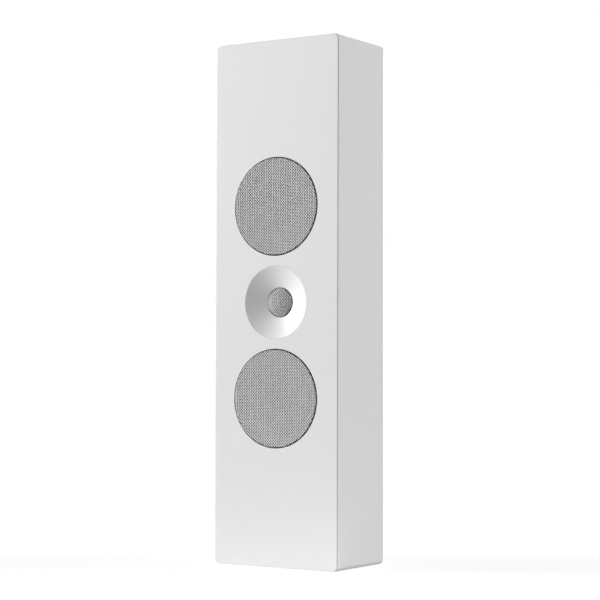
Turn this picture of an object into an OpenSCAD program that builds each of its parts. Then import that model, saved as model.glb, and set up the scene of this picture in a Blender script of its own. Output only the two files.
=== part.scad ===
// A slim center channel speaker for a wall or a shelf, drawn standing on its end.
// The front faces -Y, the height runs along +Z, and the origin is under the middle of the base.
// A lacquered box holds two woofers behind mesh grilles, with a dome tweeter in a cone between them.

/* [Cabinet] */
// Height of the cabinet
cabinet_h = 600; // [580:1:660]
// Width of the cabinet
cabinet_w = 167; // [160:1:190]
// Depth of the cabinet, front to back
cabinet_d = 104; // [98:1:130]
// Thickness of the side, top and bottom boards
wall = 18; // [16:0.5:20]
// Thickness of the front baffle
baffle_t = 22; // [20:0.5:25]
// Radius of the four corners as seen from the front
corner_r = 6; // [3:0.5:8]
// Radius of the edges round the back
rear_edge_r = 5; // [2:0.5:7]
// Radius of the edges round the front
front_edge_r = 1.5; // [0.5:0.1:3]
// Clearance between parts that fit into each other
fit_gap = 0.3; // [0.2:0.05:0.5]
// Clearance between parts that are glued or screwed home
seat_gap = 0.1; // [0.05:0.01:0.2]

/* [Rear panel] */
// Thickness of the rear panel
rear_panel_t = 12; // [11:0.5:14]
// Width of the cabinet rim left round the rear panel
rear_rim = 7; // [6.5:0.5:8]
// Radius of the rear panel's corners
rear_panel_corner_r = 5; // [2:0.5:8]
// Thickness of the foam gasket under the rear panel
panel_gasket_t = 1; // [0.5:0.1:1.5]
// Distance of the panel screws from the cabinet's side
panel_screw_inset = 13; // [12:0.5:14]
// Distance of the first and last panel screws from the ends
panel_screw_end = 45; // [30:1:60]
// Number of panel screws on each side
panel_screws_a_side = 4; // [3:1:6]
// Radius of a panel screw's shank
panel_screw_r = 1.7; // [1.5:0.1:2]
// Radius of a panel screw's head
panel_screw_head_r = 3.3; // [3:0.1:3.8]
// Length of a panel screw
panel_screw_l = 30; // [20:1:40]

/* [Braces and damping] */
// Thickness of each brace shelf
brace_t = 12; // [9:1:14]
// Distance from the cabinet's middle to the near face of each brace
brace_offset = 43; // [43:0.5:46]
// Width of the frame round each brace's window
brace_frame = 9; // [7:0.5:9.5]
// Width of each damping pad
pad_w = 110; // [90:1:120]
// Height of each damping pad
pad_h = 98; // [80:1:100]
// Thickness of each damping pad
pad_t = 12; // [8:1:16]

/* [Woofer recess and grille] */
// Distance from the cabinet's middle to each woofer's centre
woofer_offset = 109.3; // [106:0.1:113]
// Radius of the round recess that each grille fills
recess_r = 56.5; // [56:0.1:58]
// Depth of that recess
recess_depth = 12; // [11:0.5:13]
// Thickness of the mesh sheet
mesh_t = 1.2; // [1.2:0.1:1.5]
// Thickness of the grille's skirt
skirt_t = 1.2; // [0.8:0.1:1.3]
// Radius of the grille's rolled edge
grille_edge_r = 1; // [0.6:0.1:1.1]
// Width of the plain rim round the mesh
grille_rim_w = 2.2; // [1.5:0.1:3]
// Angle that the mesh is turned by, from upright
weave_angle = 45; // [0:5:90]
// Distance from one wire of the mesh to the next
wire_pitch = 2.3; // [2:0.1:3]
// Width of the groove between two wires, at the surface
groove_w = 1.5; // [1:0.05:1.6]
// Width of the groove at its bottom
groove_floor_w = 1.1; // [0.6:0.05:1.2]
// Depth of the grooves on each face
groove_depth = 0.45; // [0.3:0.05:0.5]
// Number of wires from one gap to the next
wire_count_per_gap = 4; // [4:1:6]

/* [Woofer] */
// Radius of the basket's front flange
flange_r = 53.5; // [53:0.1:54.2]
// Thickness of the flange
flange_t = 3; // [2.5:0.1:4]
// Depth of the step that the surround is glued into
landing_depth = 1.5; // [1:0.1:2]
// Thickness of the gasket behind the flange
flange_gasket_t = 1; // [0.5:0.1:1.5]
// Outer radius of the surround's roll
roll_r = 43; // [42:0.1:43.5]
// Radius of the cone where the roll starts
cone_r = 37.5; // [36:0.1:38]
// Thickness of the rubber surround
surround_t = 0.5; // [0.4:0.05:0.6]
// Width of the glue land at the cone's edge
cone_land_w = 2.8; // [2:0.1:3.5]
// Thickness of the cone
cone_t = 0.9; // [0.7:0.1:1.2]
// Depth of the cone from its edge to its neck
cone_depth = 15.5; // [14:0.5:16]
// Curve of the cone's side, where 1 is straight
cone_curve = 0.8; // [0.7:0.05:1]
// Radius of the dust cap
dust_cap_r = 17; // [15:0.5:20]
// Height of the dust cap's dome
dust_cap_h = 5.5; // [4:0.5:6]
// Thickness of the dust cap
dust_cap_t = 0.5; // [0.4:0.1:0.8]
// Wall of the basket behind the flange
basket_wall = 3; // [2.5:0.1:3.2]
// Clearance of the baffle's hole round the basket
basket_room = 1; // [0.5:0.1:1.2]
// Width of the surround's landing beyond the basket's wall
landing_lip = 1.6; // [1.2:0.1:2]
// Radius of the basket's rear ring
basket_rear_r = 38.5; // [37:0.5:40]
// Distance from the recess floor back to the basket's rear ring
basket_ring_z = 20; // [19:0.5:22]
// Thickness of the basket's floor
basket_floor_t = 3; // [2.5:0.1:4]
// Height of the basket's rear ring
basket_ring_h = 7; // [6:0.5:8]
// Number of windows in the basket
basket_windows = 6; // [4:1:8]
// Width of each basket window
basket_window_w = 26; // [18:1:28]
// Radius of the ledge under the spider's edge
spider_ledge_r = 30; // [28:0.5:31]
// Height of the spider's ledge above the basket's rear ring
spider_rise = 2.5; // [2:0.1:3]
// Thickness of the spider
spider_t = 0.4; // [0.3:0.1:0.5]
// Height of the spider's waves
spider_wave_h = 1; // [0.6:0.1:1.2]
// Number of waves in the spider
spider_waves = 4; // [3:1:5]
// Inner radius of the voice coil's former
coil_r = 12.7; // [12.4:0.1:13]
// Thickness of the former
former_t = 0.4; // [0.3:0.05:0.5]
// Thickness of the winding
winding_t = 0.8; // [0.5:0.1:1]
// Length of the winding
winding_l = 10; // [8:0.5:12]
// Gap on each side of the coil
coil_gap = 0.4; // [0.3:0.05:0.6]
// Radius of the front pole plate
top_plate_r = 36; // [34:0.5:38]
// Thickness of the front pole plate
top_plate_t = 5; // [4:0.5:6]
// Radius of the ferrite ring
magnet_r = 41; // [38:0.5:42]
// Radius of the hole in the ferrite ring
magnet_bore_r = 22; // [20:0.5:24]
// Thickness of the ferrite ring
magnet_t = 14; // [12:0.5:16]
// Radius of the yoke's back plate
yoke_r = 38; // [36:0.5:41]
// Thickness of the yoke's back plate
yoke_t = 5; // [4:0.5:6]
// Radius of the vent through the pole
vent_r = 4; // [2:0.5:5]
// Number of screws in each flange
flange_screw_count = 4; // [4:1:6]
// Length of a flange screw
flange_screw_l = 12; // [10:0.5:14]
// Width of the tag strip on the basket
tag_w = 14; // [10:0.5:16]
// Height of the tag strip
tag_h = 6; // [5:0.5:7]
// Thickness of the tag strip
tag_t = 2.4; // [2:0.1:3]

/* [Waveguide] */
// Radius of the waveguide's mouth
mouth_r = 41.75; // [41:0.05:42.5]
// Radius of the throat round the tweeter grille
throat_r = 17; // [16.5:0.1:18]
// Depth of the cone from mouth to throat
cone_mouth_depth = 9.8; // [9:0.1:11]
// Width of the hairline joint round the waveguide
hairline = 0.1; // [0.05:0.01:0.15]
// Thickness of the moulded wall
moulding_t = 2.4; // [2:0.1:2.6]
// Thickness of the wall at the very edge of the mouth
rim_wall = 1.4; // [1.2:0.1:1.8]
// Depth of the recess that the waveguide sits in
waveguide_recess = 14; // [13.5:0.1:15]
// Thickness of the gasket under the waveguide
waveguide_gasket_t = 1; // [0.5:0.1:1.2]
// Radius of the hole through the baffle behind the waveguide
waveguide_hole_r = 33.5; // [33:0.1:34]
// Radius of the circle of screws that hold the waveguide
waveguide_screw_ring_r = 37.6; // [37.2:0.1:38]
// Number of screws that hold the waveguide
waveguide_screw_count = 4; // [3:1:6]
// Length of a waveguide screw
waveguide_screw_l = 12; // [10:0.5:13]
// Number of ribs behind the cone
waveguide_ribs = 12; // [6:1:16]
// Thickness of each rib
rib_t = 1.6; // [1:0.1:2]
// Height of the ribs' lower edge above the waveguide's back
rib_rise = 1.5; // [1:0.1:2]
// Wall of the bosses round the screw holes
boss_wall = 1.6; // [1.2:0.1:1.8]
// Depth left free past the tip of a face plate screw
pilot_room = 0.5; // [0.3:0.1:1]

/* [Tweeter] */
// Height of the tweeter grille's dome
grille_dome_h = 4.2; // [3:0.1:5]
// Thickness of the tweeter grille
grille_dome_t = 0.8; // [0.6:0.1:1]
// Distance from one hole of the tweeter grille to the next
dome_hole_pitch = 3; // [2.8:0.1:4]
// Side of each square hole in the tweeter grille
dome_hole_w = 1.6; // [1.2:0.1:1.8]
// Radius of the field of holes
dome_field_r = 14.6; // [12:0.1:15]
// Height of the tweeter grille's skirt
dome_skirt_h = 4; // [3:0.1:4.2]
// Radius of the tweeter's face plate
face_plate_r = 32.5; // [32:0.1:32.8]
// Thickness of the face plate
face_plate_t = 3; // [2.5:0.1:4]
// Radius of the hole in the face plate
face_hole_r = 15; // [14.6:0.1:15.5]
// Radius of the silk dome
dome_r = 12.5; // [12:0.1:12.6]
// Height of the silk dome
dome_h = 4.4; // [3.5:0.1:4.8]
// Thickness of the silk
silk_t = 0.4; // [0.3:0.05:0.5]
// Radius of the diaphragm's glued edge
diaphragm_r = 19; // [18:0.5:22]
// Thickness of the tweeter's winding
tweeter_winding_t = 0.3; // [0.2:0.05:0.4]
// Length of the tweeter's coil
tweeter_coil_l = 4.5; // [4:0.1:5]
// Radius of the tweeter's front pole plate
tweeter_plate_r = 25; // [24:0.5:25.5]
// Thickness of the tweeter's front pole plate
tweeter_plate_t = 3; // [2.5:0.1:4]
// Radius of the tweeter's magnet
tweeter_magnet_r = 25; // [24:0.5:25.5]
// Radius of the hole in the tweeter's magnet
tweeter_magnet_bore_r = 15; // [14.5:0.5:16]
// Thickness of the tweeter's magnet
tweeter_magnet_t = 8; // [7:0.5:10]
// Radius of the tweeter's yoke
tweeter_yoke_r = 24; // [22:0.5:25]
// Thickness of the tweeter's yoke plate
tweeter_yoke_t = 3; // [2.5:0.1:4]
// Radius of the chamber behind the tweeter
chamber_r = 22; // [20:0.5:24]
// Depth of the chamber behind the tweeter
chamber_depth = 11; // [8:0.5:13]
// Wall of the chamber
chamber_wall = 2; // [1.5:0.1:3]
// Radius of the circle of screws in the face plate
face_screw_ring_r = 29; // [28.6:0.1:29.4]
// Number of screws in the face plate
face_screw_count = 3; // [3:1:4]
// Length of a face plate screw
face_screw_l = 7; // [6:0.5:7]

/* [Small screws] */
// Radius of a small screw's shank
small_screw_r = 1.3; // [1.2:0.05:1.4]
// Radius of a small screw's head
small_head_r = 2.4; // [2.2:0.1:2.6]
// Length of the screws in the hangers and the terminal cup
small_screw_l = 9; // [7:0.5:10]

/* [Terminal cup] */
// Distance of the terminal cup's centre below the lower woofer's centre
cup_drop = 90.7; // [88:0.1:96]
// Width of the cup's flange
cup_w = 84; // [80:1:90]
// Height of the cup's flange
cup_h = 62; // [60:1:64]
// Thickness of the cup's flange
cup_flange_t = 2; // [1.5:0.1:3]
// Width of the flange beyond the recess on each side
cup_lip = 7; // [6.5:0.1:8]
// Depth of the recess
cup_depth = 24; // [23:0.5:26]
// Wall of the cup
cup_wall = 2.4; // [2:0.1:3]
// Corner radius of the flange
cup_corner_r = 8; // [7:0.5:9]
// Distance between the two binding posts
post_pitch = 19; // [18:0.5:22]
// Radius of a binding post's stem
post_r = 4; // [3.5:0.1:4.5]
// Radius of a banana socket
socket_r = 2; // [2:0.01:2.1]
// Depth of a banana socket
socket_depth = 14; // [12:0.5:15]
// Radius of a post's collar
collar_r = 7; // [6:0.5:8]
// Thickness of a post's collar
collar_t = 2; // [1.5:0.1:3]
// Radius of a post's knob
knob_r = 7.8; // [7:0.1:8.4]
// Length of a post's knob
knob_l = 14; // [12:0.5:16]
// Number of grip flutes round a knob
knob_flutes = 12; // [8:1:16]
// Length of the stem past the knob
post_tip = 1.5; // [1:0.1:2]
// Length of the stem inside the cabinet
post_tail = 7; // [6:0.5:9]
// Width of a post's nut across its corners
nut_d = 13.8; // [11:0.1:15]
// Thickness of a post's nut
nut_t = 3.5; // [3:0.1:4]

/* [Wall hangers] */
// Distance of each hanger's centre from the cabinet's side
hanger_inset = 35.5; // [32:0.5:39]
// Distance of each hanger's centre below the top
hanger_drop = 55; // [50:1:70]
// Width of a hanger plate
hanger_w = 24; // [20:1:28]
// Height of a hanger plate
hanger_h = 64; // [62:1:70]
// Thickness of a hanger plate
hanger_t = 1.5; // [1.5:0.1:2]
// Radius of the keyhole's round end
keyhole_r = 5; // [4.5:0.1:5.5]
// Width of the keyhole's slot
keyhole_slot_w = 4.8; // [4.5:0.1:5]
// Distance from the round end's centre up to the slot's end
keyhole_rise = 18; // [16:0.5:20]
// Depth of the pocket behind the keyhole
keyhole_pocket = 7; // [6:0.5:8]
// Free space round the keyhole in the pocket
keyhole_room = 2; // [1:0.5:3]
// Distance of the hanger's screws from its centre
hanger_screw_z = 27; // [26.5:0.5:28]

/* [Crossover] */
// Free space between the crossover board and each side board
board_side_gap = 5.5; // [4:0.5:6.5]
// Distance of the board in front of the room's middle
board_shift = 1; // [0:0.5:2]
// Depth of the crossover board
board_d = 54; // [52:1:58]
// Thickness of the crossover board
board_t = 1.6; // [1.2:0.1:2]
// Distance between neighbouring parts on the board
board_part_gap = 2; // [1.5:0.1:2.5]
// Height of the board's spacers
spacer_h = 6; // [4:0.5:8]
// Radius of a spacer
spacer_r = 3.5; // [3:0.1:4]
// Distance of the spacers from the board's edges
spacer_inset = 5; // [4.5:0.5:6]
// Length of a board screw
board_screw_l = 16; // [14:0.5:18]
// Radius of the large coil
large_coil_r = 19; // [17:0.5:19]
// Height of the large coil
large_coil_h = 16; // [12:1:20]
// Radius of the small coil
small_coil_r = 13; // [11:0.5:13]
// Height of the small coil
small_coil_h = 14; // [10:1:18]
// Radius of the hole through the coils
coil_bore_r = 7; // [5:0.5:8]
// Radius of a capacitor
capacitor_r = 7; // [5:0.5:7]
// Length of a capacitor
capacitor_l = 28; // [24:1:28]
// Distance of the capacitors' middle from the board's middle
capacitor_shift = 13; // [11:0.5:14]
// Distance between the ends of the two capacitors
capacitor_gap = 6; // [4:0.5:8]
// Width of a resistor
resistor_w = 8; // [6:0.5:8]
// Length of a resistor
resistor_l = 30; // [26:1:32]
// Radius of a cable inside the cabinet
cable_r = 1.5; // [1:0.1:1.5]
// Distance between the lanes that the cables run in
cable_lane = 4; // [3.5:0.1:4.2]
// Distance that a cable keeps from the ends that it turns towards
cable_turn = 8; // [7:0.5:9]

/* [Hidden] */
$fn = 64;

// How far a cut runs past the face that it opens
over = 1;
// Size of a screw's hexagon socket against its shank
socket_share = 0.8;
// Size of a knob's flutes against the room that each has
flute_share = 0.625;

lacquer = [0.93, 0.93, 0.92];
fibreboard = [0.70, 0.60, 0.47];
foam = [0.22, 0.22, 0.23];
felt = [0.55, 0.55, 0.56];
mesh_grey = [0.72, 0.72, 0.73];
cast_metal = [0.30, 0.31, 0.33];
rubber = [0.13, 0.13, 0.14];
paper = [0.80, 0.80, 0.78];
spider_cloth = [0.78, 0.62, 0.33];
copper = [0.72, 0.45, 0.25];
steel = [0.62, 0.63, 0.65];
ferrite = [0.18, 0.18, 0.19];
black_plastic = [0.10, 0.10, 0.11];
gold = [0.83, 0.68, 0.35];
silk = [0.24, 0.24, 0.26];
circuit_green = [0.12, 0.36, 0.22];
screw_black = [0.16, 0.16, 0.17];

front_y = -cabinet_d / 2;
rear_y = cabinet_d / 2;
middle_z = cabinet_h / 2;
upper_z = middle_z + woofer_offset;
lower_z = middle_z - woofer_offset;

// Inside of the box
room_w = cabinet_w - 2 * wall;
room_front_y = front_y + baffle_t;
panel_face_y = rear_y - rear_panel_t;
ledge_y = panel_face_y - panel_gasket_t;
panel_w = cabinet_w - 2 * rear_rim;
panel_h = cabinet_h - 2 * rear_rim;
panel_screw_x = cabinet_w / 2 - panel_screw_inset;
panel_screw_zs = [
    for (i = [0 : panel_screws_a_side - 1])
        panel_screw_end + i * (cabinet_h - 2 * panel_screw_end) / (panel_screws_a_side - 1)
];

// Woofer heights, measured forwards from the floor of the recess
floor_y = front_y + recess_depth;
grille_r = recess_r - fit_gap;
mesh_field_r = grille_r - grille_rim_w;
flange_front = flange_gasket_t + flange_t;
landing_z = flange_front - landing_depth;
basket_r = roll_r + basket_wall;
basket_hole_r = basket_r + basket_room;
landing_r = basket_r + landing_lip;
flange_screw_ring_r = (landing_r + flange_r) / 2;
ring_bottom = -basket_ring_z - basket_ring_h;
basket_floor = ring_bottom + basket_floor_t;
former_r = coil_r + former_t;
neck_r = former_r + seat_gap;
cone_rim_z = landing_z - cone_t;
neck_z = cone_rim_z - cone_depth;
spider_z = spider_rise - basket_ring_z;
winding_r = former_r + winding_t;
top_plate_rear = ring_bottom - top_plate_t;
magnet_rear = top_plate_rear - magnet_t;
yoke_rear = magnet_rear - yoke_t;
winding_z = ring_bottom - top_plate_t / 2 - winding_l / 2;
tag_x = -basket_rear_r - seat_gap - tag_t;
tag_z = ring_bottom + basket_ring_h / 2;

// Tweeter heights, measured forwards from the front of the baffle
waveguide_seat = -waveguide_recess;
waveguide_back = waveguide_seat + waveguide_gasket_t;
grille_seat = waveguide_back;
face_back = waveguide_back - face_plate_t;
diaphragm_back = face_back - silk_t;
tweeter_plate_back = diaphragm_back - tweeter_plate_t;
tweeter_magnet_back = tweeter_plate_back - tweeter_magnet_t;
tweeter_yoke_back = tweeter_magnet_back - tweeter_yoke_t;
chamber_back = tweeter_yoke_back - chamber_depth;
silk_roll_in_r = dome_r - silk_t;
silk_roll_out_r = face_hole_r - fit_gap;
tweeter_coil_in_r = dome_r - silk_t - tweeter_winding_t;

// Terminal cup, measured along Y
cup_z = lower_z - cup_drop;
cup_body_w = cup_w - 2 * cup_lip;
cup_body_h = cup_h - 2 * cup_lip;
cup_floor_y = rear_y - cup_depth;
cup_inner_y = cup_floor_y - cup_wall;
knob_y = cup_floor_y + collar_t + seat_gap;
post_end_y = knob_y + knob_l + post_tip;
post_start_y = cup_inner_y - post_tail;
cup_screw_x = cup_w / 2 - cup_lip / 2;
cup_screw_z = cup_h / 2 - cup_lip / 2;

// Wall hangers
hanger_x = cabinet_w / 2 - hanger_inset;
hanger_z = cabinet_h - hanger_drop;
keyhole_z = -keyhole_rise / 2;

// Crossover
board_w = room_w - 2 * board_side_gap;
board_y = (room_front_y + panel_face_y) / 2 - board_shift;
board_z = wall + spacer_h;
board_top = board_z + board_t;
board_screw_top = board_top + small_head_r - small_screw_r + seat_gap;
spacer_x = board_w / 2 - spacer_inset;
spacer_y = board_d / 2 - spacer_inset;
input_x = post_pitch / 2;
parts_start_x = input_x + cable_r + board_part_gap;
parts_y = board_y + board_d / 2 - board_part_gap - large_coil_r;
capacitor_y = board_y - board_d / 2 + board_part_gap + capacitor_r;
capacitor_step = (capacitor_l + capacitor_gap) / 2;
large_coil_at = [-parts_start_x - large_coil_r, parts_y];
small_coil_at = [parts_start_x + resistor_w + board_part_gap + small_coil_r, parts_y];
capacitor_at = [[capacitor_shift - capacitor_step, capacitor_y],
                [capacitor_shift + capacitor_step, capacitor_y]];
resistor_at = [[0, parts_y], [parts_start_x + resistor_w / 2, parts_y]];

// Cables: the points that each one turns at
tag_face_x = tag_x - fit_gap;
tag_y = floor_y - tag_z;
chamber_y = front_y - (tweeter_yoke_back + chamber_back) / 2;
cable_floor_z = board_top + cable_r / 2;
tweeter_lane_x = tag_face_x - cable_lane;
lower_lane_x = tweeter_lane_x - cable_lane;
upper_lane_x = lower_lane_x - cable_lane;
rear_lane_y = tag_y + cable_turn;
lower_cable = [
    [lower_lane_x, tag_y, cable_floor_z],
    [lower_lane_x, tag_y, lower_z],
    [tag_face_x, tag_y, lower_z]
];
upper_cable = [
    [upper_lane_x, rear_lane_y, cable_floor_z],
    [upper_lane_x, rear_lane_y, upper_z],
    [upper_lane_x, tag_y, upper_z],
    [tag_face_x, tag_y, upper_z]
];
tweeter_cable = [
    [tweeter_lane_x, rear_lane_y, cable_floor_z],
    [tweeter_lane_x, rear_lane_y, middle_z],
    [tweeter_lane_x, chamber_y, middle_z],
    [-chamber_r - fit_gap, chamber_y, middle_z]
];
post_wire_y = post_start_y - fit_gap;

// A flat outline drawn in X and Z, given a thickness from y towards the back
module wall_slab(y, thickness) {
    translate([0, y + thickness, 0])
        rotate([90, 0, 0])
            linear_extrude(thickness)
                children();
}

// Turns a shape that is built along +Z so that it looks out of the front
module facing_front(y, z) {
    translate([0, y, z])
        rotate([90, 0, 0])
            children();
}

// Turns a shape that is built along +Z so that it looks out of the back
module facing_back(x, y, z) {
    translate([x, y, z])
        rotate([-90, 0, 0])
            children();
}

module round_rect(w, h, r) {
    square([w - 2 * r, h], center = true);
    square([w, h - 2 * r], center = true);
    for (x = [-1, 1], y = [-1, 1])
        translate([x * (w / 2 - r), y * (h / 2 - r)])
            circle(r);
}

module ring(outer, inner, thickness) {
    difference() {
        cylinder(h = thickness, r = outer);
        translate([0, 0, -over])
            cylinder(h = thickness + 2 * over, r = inner);
    }
}

// Copies what follows to evenly spaced places round a circle
module around(count, radius, start = 0) {
    for (i = [0 : count - 1])
        rotate([0, 0, start + i * 360 / count])
            translate([radius, 0, 0])
                children();
}

// A countersunk screw with its head's top at zero, pointing down -Z
module screw(shank_r, head_r, length) {
    head_h = head_r - shank_r;
    difference() {
        union() {
            translate([0, 0, -head_h])
                cylinder(h = head_h, r1 = shank_r, r2 = head_r);
            translate([0, 0, -length])
                cylinder(h = length - head_h, r = shank_r);
        }
        translate([0, 0, -head_h])
            cylinder(h = head_h + over, r = shank_r * socket_share, $fn = 6);
    }
}

// The hole and countersink for such a screw, opened by the seat gap
module screw_hole(shank_r, head_r, length) {
    head_h = head_r - shank_r;
    translate([0, 0, -length - over])
        cylinder(h = length + 2 * over, r = shank_r + seat_gap);
    translate([0, 0, -head_h])
        cylinder(h = head_h, r1 = shank_r + seat_gap, r2 = head_r + seat_gap);
    cylinder(h = over, r = head_r + seat_gap);
}

// Rectangle of the given length by the cabinet's depth, with its four corners rounded
module edge_section(length) {
    rear_r = min(rear_edge_r, corner_r);
    front_r = min(front_edge_r, corner_r);
    difference() {
        translate([0, front_y])
            square([length, cabinet_d]);
        for (side = [0, 1])
            translate([side * length, 0])
                mirror([side, 0, 0]) {
                    edge_cut(front_y, front_r, 1);
                    edge_cut(rear_y, rear_r, -1);
                }
    }
}

// Waste outside a quarter round at the start of an edge section
module edge_cut(y, r, inwards) {
    translate([0, y])
        mirror([0, inwards < 0 ? 1 : 0, 0])
            difference() {
                translate([-over, -over])
                    square([r + over, r + over]);
                translate([r, r])
                    circle(r);
            }
}

// One corner of the box: the edge section turned about the corner's own centre
module corner_post(x, z, start) {
    translate([x, 0, z])
        rotate([90, 0, 0])
            rotate([0, 0, start])
                rotate_extrude(angle = 90)
                    mirror([0, 1, 0])
                        intersection() {
                            translate([-cabinet_w + corner_r, 0])
                                edge_section(cabinet_w);
                            translate([0, -cabinet_d])
                                square([corner_r + over, 2 * cabinet_d]);
                        }
}

module cabinet_outside() {
    far_x = cabinet_w / 2 - corner_r;
    far_z = cabinet_h - corner_r;
    // Middle column, the full height
    translate([-far_x, 0, 0])
        rotate([0, 0, 90])
            rotate([90, 0, 0])
                linear_extrude(2 * far_x)
                    upright_section();
    // Side strips, between the corners
    translate([0, 0, corner_r])
        linear_extrude(cabinet_h - 2 * corner_r)
            translate([-cabinet_w / 2, 0])
                edge_section(cabinet_w);
    corner_post(far_x, far_z, 0);
    corner_post(-far_x, far_z, 90);
    corner_post(-far_x, corner_r, 180);
    corner_post(far_x, corner_r, 270);
}

// The edge section with its length along Z, for the middle column
module upright_section() {
    mirror([1, -1, 0])
        edge_section(cabinet_h);
}

module each_woofer() {
    for (z = [lower_z, upper_z])
        facing_front(floor_y, z)
            children();
}

module cabinet() {
    color(lacquer)
        difference() {
            cabinet_outside();
            wall_slab(room_front_y, ledge_y - room_front_y + over)
                translate([0, middle_z])
                    square([room_w, cabinet_h - 2 * wall], center = true);
            wall_slab(ledge_y, rear_panel_t + panel_gasket_t + over)
                translate([0, middle_z])
                    round_rect(panel_w, panel_h, rear_panel_corner_r);
            each_woofer() {
                cylinder(h = recess_depth + over, r = recess_r);
                translate([0, 0, -baffle_t])
                    cylinder(h = baffle_t + over, r = basket_hole_r);
                translate([0, 0, flange_front])
                    around(flange_screw_count, flange_screw_ring_r, 45)
                        screw_hole(small_screw_r, small_head_r, flange_screw_l);
            }
            facing_front(front_y, middle_z) {
                translate([0, 0, -waveguide_recess])
                    cylinder(h = waveguide_recess + over, r = mouth_r + hairline);
                translate([0, 0, -baffle_t - over])
                    cylinder(h = baffle_t, r = waveguide_hole_r);
                around(waveguide_screw_count, waveguide_screw_ring_r, 45)
                    waveguide_screw_hole();
            }
            panel_screw_places()
                screw_hole(panel_screw_r, panel_screw_head_r, panel_screw_l);
            spacer_places()
                translate([0, 0, board_screw_top])
                    screw_hole(small_screw_r, small_head_r, board_screw_l);
        }
}

// Clearance through the ledge for a screw that comes from inside the box
module waveguide_screw_hole() {
    translate([0, 0, -baffle_t])
        rotate([180, 0, 0])
            screw_hole(small_screw_r, small_head_r, waveguide_screw_l);
}

module panel_screw_places() {
    for (side = [-1, 1], z = panel_screw_zs)
        facing_back(side * panel_screw_x, rear_y, z)
            children();
}

// Places of the countersunk screws that hold the hangers and the terminal cup
module small_screw_places() {
    for (side = [-1, 1], end = [-1, 1]) {
        facing_back(side * hanger_x, rear_y, hanger_z + end * hanger_screw_z)
            children();
        facing_back(side * cup_screw_x, rear_y, cup_z + end * cup_screw_z)
            children();
    }
}

module keyhole_outline(grow) {
    translate([0, keyhole_z])
        circle(keyhole_r + grow);
    slot_w = keyhole_slot_w + 2 * grow;
    translate([-slot_w / 2, keyhole_z])
        square([slot_w, keyhole_rise]);
    translate([0, keyhole_z + keyhole_rise])
        circle(slot_w / 2);
}

module keyhole_pocket_outline() {
    pocket_r = keyhole_r + keyhole_room;
    translate([-pocket_r, keyhole_z])
        square([2 * pocket_r, keyhole_rise]);
    for (z = [keyhole_z, keyhole_z + keyhole_rise])
        translate([0, z])
            circle(pocket_r);
}

module rear_panel() {
    color(lacquer)
        difference() {
            wall_slab(panel_face_y, rear_panel_t)
                translate([0, middle_z])
                    round_rect(panel_w - 2 * fit_gap, panel_h - 2 * fit_gap,
                               rear_panel_corner_r - fit_gap);
            panel_screw_places()
                screw_hole(panel_screw_r, panel_screw_head_r, panel_screw_l);
            small_screw_places()
                screw_hole(small_screw_r, small_head_r, small_screw_l);
            // Pocket and hole for the terminal cup
            wall_slab(rear_y - cup_flange_t, cup_flange_t + over)
                translate([0, cup_z])
                    round_rect(cup_w + 2 * fit_gap, cup_h + 2 * fit_gap, cup_corner_r + fit_gap);
            wall_slab(panel_face_y - over, rear_panel_t)
                translate([0, cup_z])
                    round_rect(cup_body_w + 2 * fit_gap, cup_body_h + 2 * fit_gap,
                               cup_corner_r / 2 + fit_gap);
            for (side = [-1, 1])
                translate([side * hanger_x, 0, hanger_z]) {
                    wall_slab(rear_y - hanger_t, hanger_t + over)
                        round_rect(hanger_w + 2 * fit_gap, hanger_h + 2 * fit_gap,
                                   hanger_w / 2 + fit_gap - over);
                    wall_slab(rear_y - hanger_t - keyhole_pocket, keyhole_pocket + over)
                        keyhole_pocket_outline();
                }
        }
}

module rear_panel_gasket() {
    color(foam)
        difference() {
            wall_slab(ledge_y, panel_gasket_t)
                translate([0, middle_z])
                    difference() {
                        round_rect(panel_w - 2 * fit_gap, panel_h - 2 * fit_gap,
                                   rear_panel_corner_r - fit_gap);
                        square([room_w + 2 * fit_gap, cabinet_h - 2 * wall + 2 * fit_gap],
                               center = true);
                    }
            panel_screw_places()
                screw_hole(panel_screw_r, panel_screw_head_r, panel_screw_l);
        }
}

module rear_panel_screws() {
    color(screw_black)
        panel_screw_places()
            screw(panel_screw_r, panel_screw_head_r, panel_screw_l);
}

// A shelf with a window, glued between the sides, the baffle and the rear panel
module brace(z) {
    brace_d = panel_face_y - room_front_y;
    color(fibreboard)
        translate([0, (room_front_y + panel_face_y) / 2, z])
            linear_extrude(brace_t)
                difference() {
                    square([room_w, brace_d], center = true);
                    round_rect(room_w - 2 * brace_frame, brace_d - 2 * brace_frame, brace_frame / 2);
                }
}

module damping_pad(z) {
    color(felt)
        wall_slab(panel_face_y - pad_t, pad_t)
            translate([0, z])
                round_rect(pad_w, pad_h, pad_t / 2);
}

// Grooves from one side of the mesh to the other, with their floors at the given depth
module mesh_grooves(depth) {
    count = floor(mesh_field_r / wire_pitch);
    for (i = [-count : count])
        translate([i * wire_pitch, 0, 0])
            rotate([90, 0, 0])
                linear_extrude(2 * recess_r, center = true)
                    polygon([
                        [-groove_floor_w / 2, -depth],
                        [groove_floor_w / 2, -depth],
                        [groove_w / 2, 0],
                        [groove_w / 2, over],
                        [-groove_w / 2, over],
                        [-groove_w / 2, 0]
                    ]);
}

// Square gaps where a groove of the front crosses one of the back
module mesh_gaps() {
    step = wire_count_per_gap * wire_pitch;
    count = floor(mesh_field_r / step);
    for (i = [-count : count], j = [-count : count])
        if (norm([i * step, j * step]) < mesh_field_r - groove_w)
            translate([i * step, j * step, 0])
                linear_extrude(2 * mesh_t, center = true)
                    square(groove_floor_w, center = true);
}

// Half section of the grille pan: the sheet, the rolled edge and the skirt
module grille_section() {
    difference() {
        square([grille_r, recess_depth]);
        square([grille_r - skirt_t, recess_depth - mesh_t]);
        translate([grille_r - grille_edge_r, recess_depth - grille_edge_r])
            difference() {
                square(grille_edge_r + over);
                circle(grille_edge_r);
            }
    }
}

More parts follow.
